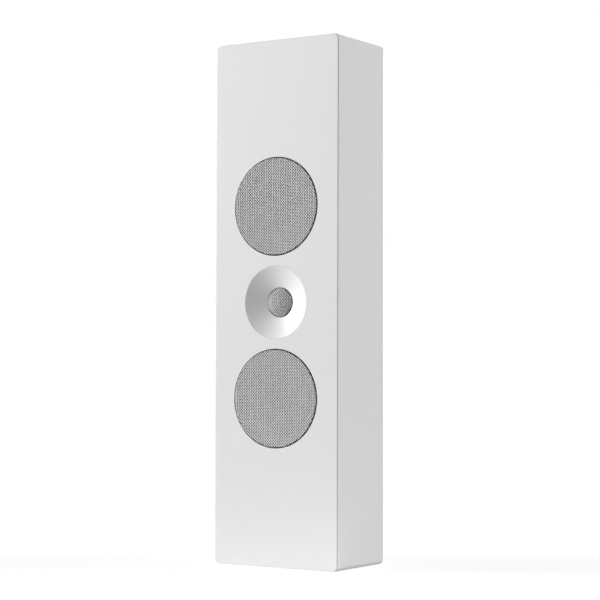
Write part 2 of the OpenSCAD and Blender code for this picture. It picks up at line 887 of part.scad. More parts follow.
module woofer_grille(z) {
    color(mesh_grey)
        facing_front(floor_y, z)
            difference() {
                rotate_extrude()
                    grille_section();
                intersection() {
                    translate([0, 0, recess_depth - 2 * mesh_t])
                        cylinder(h = 4 * mesh_t, r = mesh_field_r);
                    rotate([0, 0, weave_angle]) {
                        translate([0, 0, recess_depth])
                            mesh_grooves(groove_depth);
                        translate([0, 0, recess_depth - mesh_t])
                            rotate([180, 0, 90])
                                mesh_grooves(groove_depth);
                        translate([0, 0, recess_depth - mesh_t / 2])
                            mesh_gaps();
                    }
                }
            }
}

// Cast frame: flange, tapered wall, ledge for the spider and floor for the pole plate
module basket_section() {
    polygon([
        [flange_r, flange_gasket_t],
        [flange_r, flange_front],
        [landing_r, flange_front],
        [landing_r, landing_z],
        [roll_r, landing_z],
        [roll_r, 0],
        [basket_rear_r - basket_wall, spider_z],
        [spider_ledge_r, spider_z],
        [spider_ledge_r, basket_floor],
        [winding_r + coil_gap, basket_floor],
        [winding_r + coil_gap, ring_bottom],
        [basket_rear_r, ring_bottom],
        [basket_rear_r, -basket_ring_z],
        [basket_r, 0],
        [basket_r, flange_gasket_t]
    ]);
}

module woofer_basket(z) {
    window_h = basket_ring_z + spider_z;
    color(cast_metal)
        facing_front(floor_y, z)
            difference() {
                rotate_extrude()
                    basket_section();
                around(basket_windows, basket_rear_r - 2 * basket_wall, 90)
                    translate([0, -basket_window_w / 2, spider_z + window_h])
                        cube([basket_r, basket_window_w, -spider_z - 2 * window_h]);
                translate([0, 0, flange_front])
                    around(flange_screw_count, flange_screw_ring_r, 45)
                        screw_hole(small_screw_r, small_head_r, flange_screw_l);
            }
}

module woofer_gasket(z) {
    color(foam)
        facing_front(floor_y, z)
            difference() {
                ring(flange_r, basket_hole_r + fit_gap, flange_gasket_t);
                translate([0, 0, flange_front])
                    around(flange_screw_count, flange_screw_ring_r, 45)
                        screw_hole(small_screw_r, small_head_r, flange_screw_l);
            }
}

module woofer_surround(z) {
    roll_w = roll_r - cone_r;
    color(rubber)
        facing_front(floor_y, z)
            translate([0, 0, landing_z])
                rotate_extrude() {
                    translate([(cone_r + roll_r) / 2, 0])
                        difference() {
                            circle(roll_w / 2);
                            circle(roll_w / 2 - surround_t);
                            translate([-roll_w, -2 * roll_w])
                                square([2 * roll_w, 2 * roll_w]);
                        }
                    translate([roll_r - surround_t, 0])
                        square([landing_r - fit_gap - roll_r + surround_t, surround_t]);
                    translate([cone_r - cone_land_w, 0])
                        square([cone_land_w + surround_t, surround_t]);
                }
}

// Height of the cone's front face above the recess floor at a radius
function cone_height(r) =
    neck_z + cone_depth * pow((r - neck_r) / (cone_r - cone_land_w - neck_r), cone_curve);

module woofer_cone(z) {
    steps = 10;
    slope_r = cone_r - cone_land_w;
    rs = [for (i = [0 : steps]) neck_r + (slope_r - neck_r) * pow(i / steps, 1.5)];
    front = [for (r = rs) [r, cone_height(r) + cone_t]];
    back = [for (i = [steps : -1 : 0]) [rs[i], cone_height(rs[i])]];
    color(paper)
        facing_front(floor_y, z)
            rotate_extrude()
                polygon(concat(front, [[cone_r, landing_z], [cone_r, cone_rim_z]], back));
}

// A thin dome that rises from a base radius to a height at the axis
module dome_section(base_r, height, thickness) {
    ball_r = (base_r * base_r + height * height) / (2 * height);
    difference() {
        translate([0, height - ball_r])
            circle(ball_r);
        translate([0, height - ball_r])
            circle(ball_r - thickness);
        translate([-2 * ball_r, -2 * ball_r])
            square([2 * ball_r, 4 * ball_r]);
        translate([-over, -4 * ball_r])
            square([3 * ball_r, 4 * ball_r]);
    }
}

module woofer_dust_cap(z) {
    color(paper)
        facing_front(floor_y, z)
            translate([0, 0, cone_height(dust_cap_r) + cone_t + seat_gap])
                rotate_extrude()
                    dome_section(dust_cap_r, dust_cap_h, dust_cap_t);
}

module woofer_spider(z) {
    steps = 8 * spider_waves;
    outer = basket_rear_r - basket_wall - fit_gap;
    wave_end = spider_ledge_r;
    rs = [for (i = [0 : steps]) neck_r + (wave_end - neck_r) * i / steps];
    heights = [for (i = [0 : steps]) spider_wave_h * sin(i * 45)];
    front = [for (i = [0 : steps]) [rs[i], heights[i] + spider_t]];
    back = [for (i = [steps : -1 : 0]) [rs[i], heights[i]]];
    color(spider_cloth)
        facing_front(floor_y, z)
            translate([0, 0, spider_z])
                rotate_extrude()
                    polygon(concat(front, [[outer, spider_t], [outer, 0]], back));
}

module woofer_voice_coil(z) {
    color(copper)
        facing_front(floor_y, z) {
            translate([0, 0, winding_z])
                ring(former_r, coil_r, neck_z + 1.5 * cone_t - winding_z);
            translate([0, 0, winding_z])
                ring(winding_r, coil_r, winding_l);
        }
}

module woofer_top_plate(z) {
    color(steel)
        facing_front(floor_y, z)
            translate([0, 0, top_plate_rear])
                ring(top_plate_r, winding_r + coil_gap, top_plate_t);
}

module woofer_magnet(z) {
    color(ferrite)
        facing_front(floor_y, z)
            translate([0, 0, magnet_rear])
                ring(magnet_r, magnet_bore_r, magnet_t);
}

module woofer_yoke(z) {
    color(steel)
        facing_front(floor_y, z)
            difference() {
                union() {
                    translate([0, 0, yoke_rear])
                        cylinder(h = yoke_t, r = yoke_r);
                    translate([0, 0, yoke_rear])
                        cylinder(h = ring_bottom - yoke_rear, r = coil_r - coil_gap);
                }
                translate([0, 0, yoke_rear - over])
                    cylinder(h = ring_bottom - yoke_rear + 2 * over, r = vent_r);
            }
}

// Insulated strip with two solder tags, riveted to the side of the basket
module woofer_tag_strip(z) {
    tag_blade = tag_w / 4;
    color(black_plastic)
        facing_front(floor_y, z)
            translate([tag_x, 0, tag_z]) {
                translate([0, -tag_w / 2, -tag_h / 2])
                    cube([tag_t, tag_w, tag_h]);
                for (side = [-1, 1])
                    translate([0, side * tag_blade - tag_blade / 2, -tag_h])
                        cube([tag_t / 2, tag_blade, tag_h]);
            }
}

module woofer_screws() {
    color(screw_black)
        each_woofer()
            translate([0, 0, flange_front])
                around(flange_screw_count, flange_screw_ring_r, 45)
                    screw(small_screw_r, small_head_r, flange_screw_l);
}

// Moulded cone with an outer wall, a throat tube, bosses for its screws and ribs behind
module waveguide_section() {
    slope = cone_mouth_depth / (mouth_r - throat_r);
    polygon([
        [mouth_r, 0],
        [throat_r, -cone_mouth_depth],
        [throat_r, waveguide_back],
        [throat_r + moulding_t, waveguide_back],
        [throat_r + moulding_t, -cone_mouth_depth - moulding_t],
        [mouth_r - rim_wall, -rim_wall * slope - moulding_t],
        [mouth_r - rim_wall, waveguide_back],
        [mouth_r, waveguide_back]
    ]);
}

// Everything between the back of the cone and the plane of the waveguide's seat
module behind_cone() {
    slope = cone_mouth_depth / (mouth_r - throat_r);
    rotate_extrude()
        polygon([
            [throat_r + moulding_t / 2, waveguide_back],
            [throat_r + moulding_t / 2, -cone_mouth_depth - moulding_t / 2],
            [mouth_r - rim_wall / 2, -rim_wall * slope - moulding_t / 2],
            [mouth_r - rim_wall / 2, waveguide_back]
        ]);
}

module waveguide() {
    pilot_r = small_screw_r + seat_gap;
    boss_r = pilot_r + boss_wall;
    color(lacquer)
        facing_front(front_y, middle_z)
            difference() {
                union() {
                    rotate_extrude()
                        waveguide_section();
                    intersection() {
                        behind_cone();
                        union() {
                            around(waveguide_screw_count, waveguide_screw_ring_r, 45)
                                translate([0, 0, waveguide_back])
                                    cylinder(h = waveguide_recess, r = boss_r);
                            around(face_screw_count, face_screw_ring_r, 90)
                                translate([0, 0, waveguide_back])
                                    cylinder(h = waveguide_recess, r = boss_r);
                            around(waveguide_ribs, (throat_r + mouth_r) / 2, 0)
                                translate([0, 0, waveguide_back + rib_rise])
                                    translate([-mouth_r, -rib_t / 2, 0])
                                        cube([2 * mouth_r, rib_t, waveguide_recess]);
                        }
                    }
                }
                translate([0, 0, -waveguide_recess - over])
                    cylinder(h = waveguide_recess, r = throat_r);
                around(waveguide_screw_count, waveguide_screw_ring_r, 45)
                    translate([0, 0, waveguide_back - over])
                        cylinder(h = waveguide_screw_l - baffle_t + waveguide_recess + over,
                                 r = pilot_r);
                around(face_screw_count, face_screw_ring_r, 90)
                    translate([0, 0, waveguide_back - over])
                        cylinder(h = face_screw_l - face_plate_t + over + pilot_room, r = pilot_r);
            }
}

module waveguide_gasket() {
    color(foam)
        facing_front(front_y, middle_z)
            difference() {
                translate([0, 0, waveguide_seat])
                    ring(mouth_r - fit_gap, waveguide_hole_r + fit_gap, waveguide_gasket_t);
                around(waveguide_screw_count, waveguide_screw_ring_r, 45)
                    waveguide_screw_hole();
            }
}

module waveguide_screws() {
    color(screw_black)
        facing_front(front_y, middle_z)
            around(waveguide_screw_count, waveguide_screw_ring_r, 45)
                translate([0, 0, -baffle_t])
                    rotate([180, 0, 0])
                        screw(small_screw_r, small_head_r, waveguide_screw_l);
}

// Square holes of the tweeter grille, in straight rows
module dome_holes() {
    count = floor(dome_field_r / dome_hole_pitch);
    for (i = [-count : count], j = [-count : count])
        if (norm([i, j]) * dome_hole_pitch < dome_field_r)
            translate([i * dome_hole_pitch, j * dome_hole_pitch, 0])
                linear_extrude(waveguide_recess, center = true)
                    square(dome_hole_w, center = true);
}

module tweeter_grille() {
    rim_r = throat_r - fit_gap;
    color(mesh_grey)
        facing_front(front_y, middle_z)
            translate([0, 0, grille_seat])
                difference() {
                    rotate_extrude() {
                        translate([0, dome_skirt_h - grille_dome_t])
                            dome_section(rim_r, grille_dome_h, grille_dome_t);
                        translate([rim_r - grille_dome_t, 0])
                            square([grille_dome_t, dome_skirt_h]);
                    }
                    rotate([0, 0, weave_angle])
                        dome_holes();
                }
}

module tweeter_face_plate() {
    color(cast_metal)
        facing_front(front_y, middle_z)
            difference() {
                translate([0, 0, face_back])
                    ring(face_plate_r, face_hole_r, face_plate_t);
                face_screw_places()
                    screw_hole(small_screw_r, small_head_r, face_screw_l);
            }
}

// The face plate's screws come from behind, clear of the magnet
module face_screw_places() {
    around(face_screw_count, face_screw_ring_r, 90)
        translate([0, 0, face_back])
            rotate([180, 0, 0])
                children();
}

module tweeter_diaphragm() {
    color(silk)
        facing_front(front_y, middle_z)
            rotate_extrude() {
                translate([0, face_back])
                    dome_section(dome_r, dome_h, silk_t);
                // Half roll between the dome and the glued edge
                translate([(silk_roll_in_r + silk_roll_out_r) / 2, diaphragm_back])
                    difference() {
                        circle((silk_roll_out_r - silk_roll_in_r) / 2);
                        circle((silk_roll_out_r - silk_roll_in_r) / 2 - silk_t);
                        translate([-dome_r, -2 * dome_r])
                            square([2 * dome_r, 2 * dome_r]);
                    }
                translate([silk_roll_out_r - silk_t, diaphragm_back])
                    square([diaphragm_r - silk_roll_out_r + silk_t, silk_t]);
                // Former and winding, hanging from the dome's edge
                translate([tweeter_coil_in_r, face_back + silk_t - tweeter_coil_l])
                    square([tweeter_winding_t + silk_t, tweeter_coil_l]);
            }
}

module tweeter_top_plate() {
    color(steel)
        facing_front(front_y, middle_z)
            translate([0, 0, tweeter_plate_back])
                ring(tweeter_plate_r, dome_r + coil_gap, tweeter_plate_t);
}

module tweeter_magnet() {
    color(ferrite)
        facing_front(front_y, middle_z)
            translate([0, 0, tweeter_magnet_back])
                ring(tweeter_magnet_r, tweeter_magnet_bore_r, tweeter_magnet_t);
}

module tweeter_yoke() {
    color(steel)
        facing_front(front_y, middle_z)
            difference() {
                union() {
                    translate([0, 0, tweeter_yoke_back])
                        cylinder(h = tweeter_yoke_t, r = tweeter_yoke_r);
                    translate([0, 0, tweeter_yoke_back])
                        cylinder(h = diaphragm_back - tweeter_yoke_back,
                                 r = tweeter_coil_in_r - coil_gap);
                }
                translate([0, 0, tweeter_yoke_back - over])
                    cylinder(h = diaphragm_back - tweeter_yoke_back + 2 * over, r = vent_r);
            }
}

// Closed cup that catches the tweeter's rear wave, with a lip that carries its two tags
module tweeter_rear_chamber() {
    color(black_plastic)
        facing_front(front_y, middle_z)
            difference() {
                translate([0, 0, chamber_back])
                    cylinder(h = chamber_depth, r = chamber_r);
                translate([0, 0, chamber_back + chamber_wall])
                    cylinder(h = chamber_depth, r = chamber_r - chamber_wall);
            }
}

module tweeter_screws() {
    color(screw_black)
        facing_front(front_y, middle_z)
            face_screw_places()
                screw(small_screw_r, small_head_r, face_screw_l);
}

module post_places() {
    for (side = [-1, 1])
        translate([side * post_pitch / 2, 0, cup_z])
            children();
}

module terminal_cup() {
    color(black_plastic)
        difference() {
            union() {
                wall_slab(rear_y - cup_flange_t, cup_flange_t)
                    translate([0, cup_z])
                        round_rect(cup_w, cup_h, cup_corner_r);
                wall_slab(cup_inner_y, cup_depth + cup_wall)
                    translate([0, cup_z])
                        round_rect(cup_body_w, cup_body_h, cup_corner_r / 2);
            }
            wall_slab(cup_floor_y, cup_depth + over)
                translate([0, cup_z])
                    round_rect(cup_body_w - 2 * cup_wall, cup_body_h - 2 * cup_wall,
                               cup_corner_r / 2);
            post_places()
                wall_slab(cup_inner_y - over, cup_wall + 2 * over)
                    circle(post_r + seat_gap);
            small_screw_places()
                screw_hole(small_screw_r, small_head_r, small_screw_l);
        }
}

module binding_posts() {
    color(gold)
        post_places()
            difference() {
                union() {
                    wall_slab(post_start_y, post_end_y - post_start_y)
                        circle(post_r);
                    wall_slab(cup_floor_y, collar_t)
                        circle(collar_r);
                }
                wall_slab(post_end_y - socket_depth, socket_depth + over)
                    circle(socket_r);
            }
}

// Fluted knob that screws down on a post
module post_knob(side) {
    flute_r = knob_r * sin(180 / knob_flutes) * flute_share;
    translate([side * post_pitch / 2, 0, cup_z])
        difference() {
            wall_slab(knob_y, knob_l)
                difference() {
                    circle(knob_r);
                    circle(post_r + seat_gap);
                }
            wall_slab(knob_y + collar_t, knob_l)
                for (i = [0 : knob_flutes - 1])
                    rotate(i * 360 / knob_flutes)
                        translate([knob_r + flute_r / 2, 0])
                            circle(flute_r);
        }
}

module red_post_knob() {
    color([0.75, 0.10, 0.10])
        post_knob(1);
}

module black_post_knob() {
    color(black_plastic)
        post_knob(-1);
}

module binding_post_nuts() {
    color(gold)
        post_places()
            wall_slab(cup_inner_y - nut_t, nut_t)
                difference() {
                    circle(nut_d / 2, $fn = 6);
                    circle(post_r + seat_gap);
                }
}

module hanger_plate(side) {
    color(steel)
        difference() {
            translate([side * hanger_x, 0, hanger_z])
                wall_slab(rear_y - hanger_t, hanger_t)
                    difference() {
                        round_rect(hanger_w, hanger_h, hanger_w / 2 - over);
                        keyhole_outline(0);
                    }
            small_screw_places()
                screw_hole(small_screw_r, small_head_r, small_screw_l);
        }
}

module small_panel_screws() {
    color(screw_black)
        small_screw_places()
            screw(small_screw_r, small_head_r, small_screw_l);
}

module spacer_places() {
    for (x = [-1, 1], y = [-1, 1])
        translate([x * spacer_x, board_y + y * spacer_y, 0])
            children();
}

module crossover_board() {
    color(circuit_green)
        difference() {
            translate([0, board_y, board_z])
                linear_extrude(board_t)
                    square([board_w, board_d], center = true);
            spacer_places()
                translate([0, 0, board_z - over])
                    cylinder(h = board_t + 2 * over, r = small_screw_r + seat_gap);
        }
}

module crossover_spacers() {
    color(black_plastic)
        spacer_places()
            translate([0, 0, wall])
                ring(spacer_r, small_screw_r + seat_gap, spacer_h);
}

module crossover_screws() {
    color(screw_black)
        spacer_places()
            translate([0, 0, board_screw_top])
                screw(small_screw_r, small_head_r, board_screw_l);
}

module crossover_coils() {
    color(copper) {
        translate([large_coil_at[0], large_coil_at[1], board_top])
            ring(large_coil_r, coil_bore_r, large_coil_h);
        translate([small_coil_at[0], small_coil_at[1], board_top])
            ring(small_coil_r, coil_bore_r, small_coil_h);
    }
}

module crossover_capacitors() {
    color([0.15, 0.25, 0.55])
        for (place = capacitor_at)
            translate([place[0] - capacitor_l / 2, place[1], board_top + capacitor_r + seat_gap])
                rotate([0, 90, 0])
                    cylinder(h = capacitor_l, r = capacitor_r);
}

module crossover_resistors() {
    color([0.85, 0.83, 0.78])
        for (place = resistor_at)
            translate([place[0] - resistor_w / 2, place[1] - resistor_l / 2, board_top])
                cube([resistor_w, resistor_l, resistor_w]);
}

// A straight length of cable between two points
module cable_run(from, to) {
    step = to - from;
    length = norm(step);
    translate(from)
        rotate([0, acos(step[2] / length), atan2(step[1], step[0])])
            cylinder(h = length, r = cable_r);
}

// A cable through a list of points, rounded at each turn
module cable(points) {
    last = len(points) - 1;
    for (i = [1 : last])
        cable_run(points[i - 1], points[i]);
    for (i = [1 : last - 1])
        translate(points[i])
            sphere(cable_r);
}

module driver_cables() {
    color(rubber) {
        cable(lower_cable);
        cable(upper_cable);
        cable(tweeter_cable);
    }
}

module input_cables() {
    color(rubber)
        for (side = [-1, 1]) {
            x = side * input_x;
            cable([
                [x, post_wire_y, cup_z],
                [x, post_wire_y - cable_turn, cup_z],
                [x, post_wire_y - cable_turn, cable_floor_z]
            ]);
        }
}

cabinet();
rear_panel();
rear_panel_gasket();
rear_panel_screws();
brace(middle_z + brace_offset);  // upper_brace
brace(middle_z - brace_offset - brace_t);  // lower_brace
damping_pad(upper_z);  // upper_damping_pad
damping_pad(lower_z);  // lower_damping_pad
woofer_grille(upper_z);  // upper_woofer_grille
woofer_grille(lower_z);  // lower_woofer_grille
woofer_basket(upper_z);  // upper_woofer_basket
woofer_gasket(upper_z);  // upper_woofer_gasket
woofer_surround(upper_z);  // upper_woofer_surround
woofer_cone(upper_z);  // upper_woofer_cone
woofer_dust_cap(upper_z);  // upper_woofer_dust_cap
woofer_spider(upper_z);  // upper_woofer_spider
woofer_voice_coil(upper_z);  // upper_woofer_voice_coil
woofer_top_plate(upper_z);  // upper_woofer_top_plate
woofer_magnet(upper_z);  // upper_woofer_magnet
woofer_yoke(upper_z);  // upper_woofer_yoke
woofer_tag_strip(upper_z);  // upper_woofer_tag_strip
woofer_basket(lower_z);  // lower_woofer_basket
woofer_gasket(lower_z);  // lower_woofer_gasket
woofer_surround(lower_z);  // lower_woofer_surround
woofer_cone(lower_z);  // lower_woofer_cone
woofer_dust_cap(lower_z);  // lower_woofer_dust_cap
woofer_spider(lower_z);  // lower_woofer_spider
woofer_voice_coil(lower_z);  // lower_woofer_voice_coil
woofer_top_plate(lower_z);  // lower_woofer_top_plate
woofer_magnet(lower_z);  // lower_woofer_magnet
woofer_yoke(lower_z);  // lower_woofer_yoke
woofer_tag_strip(lower_z);  // lower_woofer_tag_strip
woofer_screws();
waveguide();
waveguide_gasket();
waveguide_screws();
tweeter_grille();
tweeter_face_plate();
tweeter_diaphragm();
tweeter_top_plate();
tweeter_magnet();
tweeter_yoke();
tweeter_rear_chamber();
tweeter_screws();
terminal_cup();
binding_posts();
red_post_knob();
black_post_knob();
binding_post_nuts();
hanger_plate(-1);  // left_hanger_plate
hanger_plate(1);  // right_hanger_plate
small_panel_screws();
crossover_board();
crossover_spacers();
crossover_screws();
crossover_coils();
crossover_capacitors();
crossover_resistors();
driver_cables();
input_cables();
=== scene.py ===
"""Looks of a slim center channel speaker that stands on its end.

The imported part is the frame. The pieces that show most are made again here as smooth surfaces
in the same places: the lacquered box, the moulded cone between the woofers, and the three woven
grilles. All other parts keep their solids and get a finish of their own. Sizes are in millimetres
until a mesh is made, the front faces -Y and the height runs along +Z.
"""

import logging
import math
from dataclasses import dataclass, field
from enum import Enum

import bmesh
import bpy
import numpy as np
from mathutils import Matrix, Vector


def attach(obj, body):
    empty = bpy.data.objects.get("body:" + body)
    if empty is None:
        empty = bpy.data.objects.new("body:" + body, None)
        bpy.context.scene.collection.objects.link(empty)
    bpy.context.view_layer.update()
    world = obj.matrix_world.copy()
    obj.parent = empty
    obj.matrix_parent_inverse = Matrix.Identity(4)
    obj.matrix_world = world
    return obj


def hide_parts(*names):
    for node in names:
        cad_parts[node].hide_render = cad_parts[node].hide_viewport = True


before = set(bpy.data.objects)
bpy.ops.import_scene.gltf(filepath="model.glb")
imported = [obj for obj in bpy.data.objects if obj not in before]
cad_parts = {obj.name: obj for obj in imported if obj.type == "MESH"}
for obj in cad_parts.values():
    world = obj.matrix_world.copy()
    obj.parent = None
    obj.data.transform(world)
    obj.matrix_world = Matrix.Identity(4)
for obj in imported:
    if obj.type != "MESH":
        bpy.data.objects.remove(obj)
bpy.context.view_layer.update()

LOG = logging.getLogger("speaker")
MM = 0.001

# The baffle's front, and the heights of the drivers' middles.
FRONT_Y = -52.0
LOWER_Z = 190.7
TWEETER_Z = 300.0
UPPER_Z = 409.3

# Points nearer than this are one point, and edges shorter than this are dropped.
WELD = 0.002
SLIVER = 0.001

# The floor lies just under the box, with the cards' light between them.
FLOOR_Z = -0.05
CARD_Z = -0.02

# The camera's sensor, the width of the picture, and how far off a sun's lamp is drawn, in metres.
SENSOR = 36.0
PICTURE_PX = 600.0
SUN_AWAY = 3.0

Array = np.ndarray
Socket = bpy.types.NodeSocket
Colour = tuple[float, float, float]
Point = tuple[float, float, float]


# ---- Surfaces


@dataclass
class Shell:
    """Patches of one piece, gathered as whole arrays and welded into one closed mesh.

    Args:
        points: arrays of points in millimetres, each shaped (n, 3).
        quads: arrays of the point numbers of quads, each shaped (m, 4).
        count: number of points so far.
    """

    points: list[Array] = field(default_factory=list)
    quads: list[Array] = field(default_factory=list)
    count: int = 0

    def grid(self, surface: Array, close_u: bool = False, close_v: bool = False) -> None:
        """Adds a surface P(u, v) sampled on a grid, with a quad between each four neighbours.

        Args:
            surface: points in millimetres, shaped (rows, columns, 3).
            close_u: joins the last row to the first.
            close_v: joins the last column to the first.
        """
        rows, columns = surface.shape[:2]
        ids = self.count + np.arange(rows * columns).reshape(rows, columns)
        if close_u:
            ids = np.vstack([ids, ids[:1]])
        if close_v:
            ids = np.hstack([ids, ids[:, :1]])
        quads = np.stack([ids[:-1, :-1], ids[:-1, 1:], ids[1:, 1:], ids[1:, :-1]], axis=-1)
        self.add(surface.reshape(-1, 3), quads.reshape(-1, 4))

    def add(self, points: Array, quads: Array) -> None:
        """Adds points, and quads whose numbers count on from the points before them.

        Args:
            points: points in millimetres, shaped (n, 3).
            quads: point numbers, shaped (m, 4).
        """
        self.points.append(points)
        self.quads.append(quads)
        self.count += len(points)

    def piece(self, name: str, sharp: float = 32.0) -> bpy.types.Object:
        """Makes the mesh object: welds the seams, turns the faces outwards and sets the shading.

        Args:
            name: the object's name.
            sharp: edges that turn by more than this many degrees stay crisp.

        Returns:
            The new object, at the origin, with its place in its mesh.
        """
        points = np.concatenate(self.points) * MM
        quads = np.concatenate(self.quads)
        mesh = bpy.data.meshes.new(name)
        mesh.vertices.add(len(points))
        mesh.vertices.foreach_set("co", points.astype(np.float32).ravel())
        mesh.loops.add(quads.size)
        mesh.loops.foreach_set("vertex_index", quads.astype(np.int32).ravel())
        mesh.polygons.add(len(quads))
        mesh.polygons.foreach_set("loop_start", np.arange(0, quads.size, 4, dtype=np.int32))
        mesh.update(calc_edges=True)
        mesh.validate()
        loose = bmesh.new()
        loose.from_mesh(mesh)
        bmesh.ops.remove_doubles(loose, verts=loose.verts, dist=WELD * MM)
        bmesh.ops.dissolve_degenerate(loose, edges=loose.edges, dist=SLIVER * MM)
        bmesh.ops.recalc_face_normals(loose, faces=loose.faces)
        loose.to_mesh(mesh)
        loose.free()
        mesh.shade_smooth()
        mesh.set_sharp_from_angle(angle=math.radians(sharp))
        made = bpy.data.objects.new(name, mesh)
        bpy.context.scene.collection.objects.link(made)
        weighted = made.modifiers.new("flat_faces_stay_flat", "WEIGHTED_NORMAL")
        weighted.keep_sharp = True
        return made


def quarter(centre: tuple[float, float], radius: float, start: float, steps: int) -> Array:
    """Quarter circle: centre + radius * (cos a, sin a), with a from start over 90 degrees.

    Args:
        centre: the arc's centre.
        radius: its radius.
        start: the angle that it starts at, in degrees.
        steps: number of chords.

    Returns:
        Points shaped (steps + 1, 2).
    """
    turn = np.radians(start + np.linspace(0.0, 90.0, steps + 1))
    return np.stack([centre[0] + radius * np.cos(turn), centre[1] + radius * np.sin(turn)], axis=1)


def revolve(profile: Array, centre: Point, turns: int) -> Array:
    """Profile (r, y) turned about the line through centre along Y: (r cos a, y, r sin a).

    Args:
        profile: points (radius, y) in millimetres, shaped (n, 2), with y from the centre.
        centre: a point on the axis.
        turns: number of steps round.

    Returns:
        Points shaped (n, turns, 3), open round the turn.
    """
    angle = np.linspace(0.0, 2.0 * np.pi, turns, endpoint=False)
    radius, along = profile[:, :1], profile[:, 1:]
    x = centre[0] + radius * np.cos(angle)
    y = centre[1] + along * np.ones_like(angle)
    z = centre[2] + radius * np.sin(angle)
    return np.stack([x, y, z], axis=-1)


def direction(azimuth: float, elevation: float) -> Vector:
    """Unit vector (sin a cos e, -cos a cos e, sin e), at azimuth a and elevation e.

    Args:
        azimuth: angle from the front (-Y) towards the right (+X), in degrees.
        elevation: angle above the level, in degrees.

    Returns:
        The vector, from the box outwards.
    """
    turn, rise = math.radians(azimuth), math.radians(elevation)
    level = math.cos(rise)
    return Vector((math.sin(turn) * level, -math.cos(turn) * level, math.sin(rise)))


def ruled(first: Array, second: Array) -> Array:
    """Straight lines between two curves of equally many points: (1 - t) first + t second."""
    return np.stack([first, second])


# ---- Node trees


class Tree:
    """A node tree, with one short call that places a node, sets it and links it."""

    def __init__(self, tree: bpy.types.NodeTree) -> None:
        """Takes a tree and empties it."""
        self.tree = tree
        self.tree.nodes.clear()

    def node(self, kind: str, values: dict | None = None, **settings: object) -> bpy.types.Node:
        """Places one node.

        Args:
            kind: the node's type.
            values: inputs by name or number; a socket is linked and anything else is set.
            settings: the node's own settings.

        Returns:
            The new node.
        """
        made = self.tree.nodes.new(kind)
        for name, value in settings.items():
            setattr(made, name, value)
        for name, value in (values or {}).items():
            if isinstance(value, bpy.types.NodeSocket):
                self.tree.links.new(value, made.inputs[name])
            else:
                made.inputs[name].default_value = value
        return made

    def math(self, operation: str, *terms: Socket | float) -> Socket:
        """Result of one Math node on numbers or sockets."""
        return self.node("ShaderNodeMath", dict(enumerate(terms)), operation=operation).outputs[0]

    def noise(self, vector: Socket, scale: Socket | float, detail: float) -> Socket:
        """Strength of one Noise Texture at a vector, from 0 to 1."""
        values = {"Vector": vector, "Scale": scale, "Detail": detail}
        return self.node("ShaderNodeTexNoise", values).outputs[0]

    def part(self, vector: Socket) -> bpy.types.Node:
        """Node that splits a vector into its three coordinates."""
        return self.node("ShaderNodeSeparateXYZ", {0: vector})


class Pattern(Enum):
    """The node groups: wide clouds, and the small figures that finishes have.

    A value is both the group's name and the name of the method of Figure that draws it.
    """

    CLOUDS = "soft_clouds"
    PEEL = "sprayed_coat"
    GRAIN = "spark_grain"
    WEAVE = "woven_threads"
    RINGS = "turned_rings"
    TURNS = "wound_turns"
    CELLS = "foam_cells"
    FIBRE = "pressed_fibres"
    TRACKS = "board_tracks"


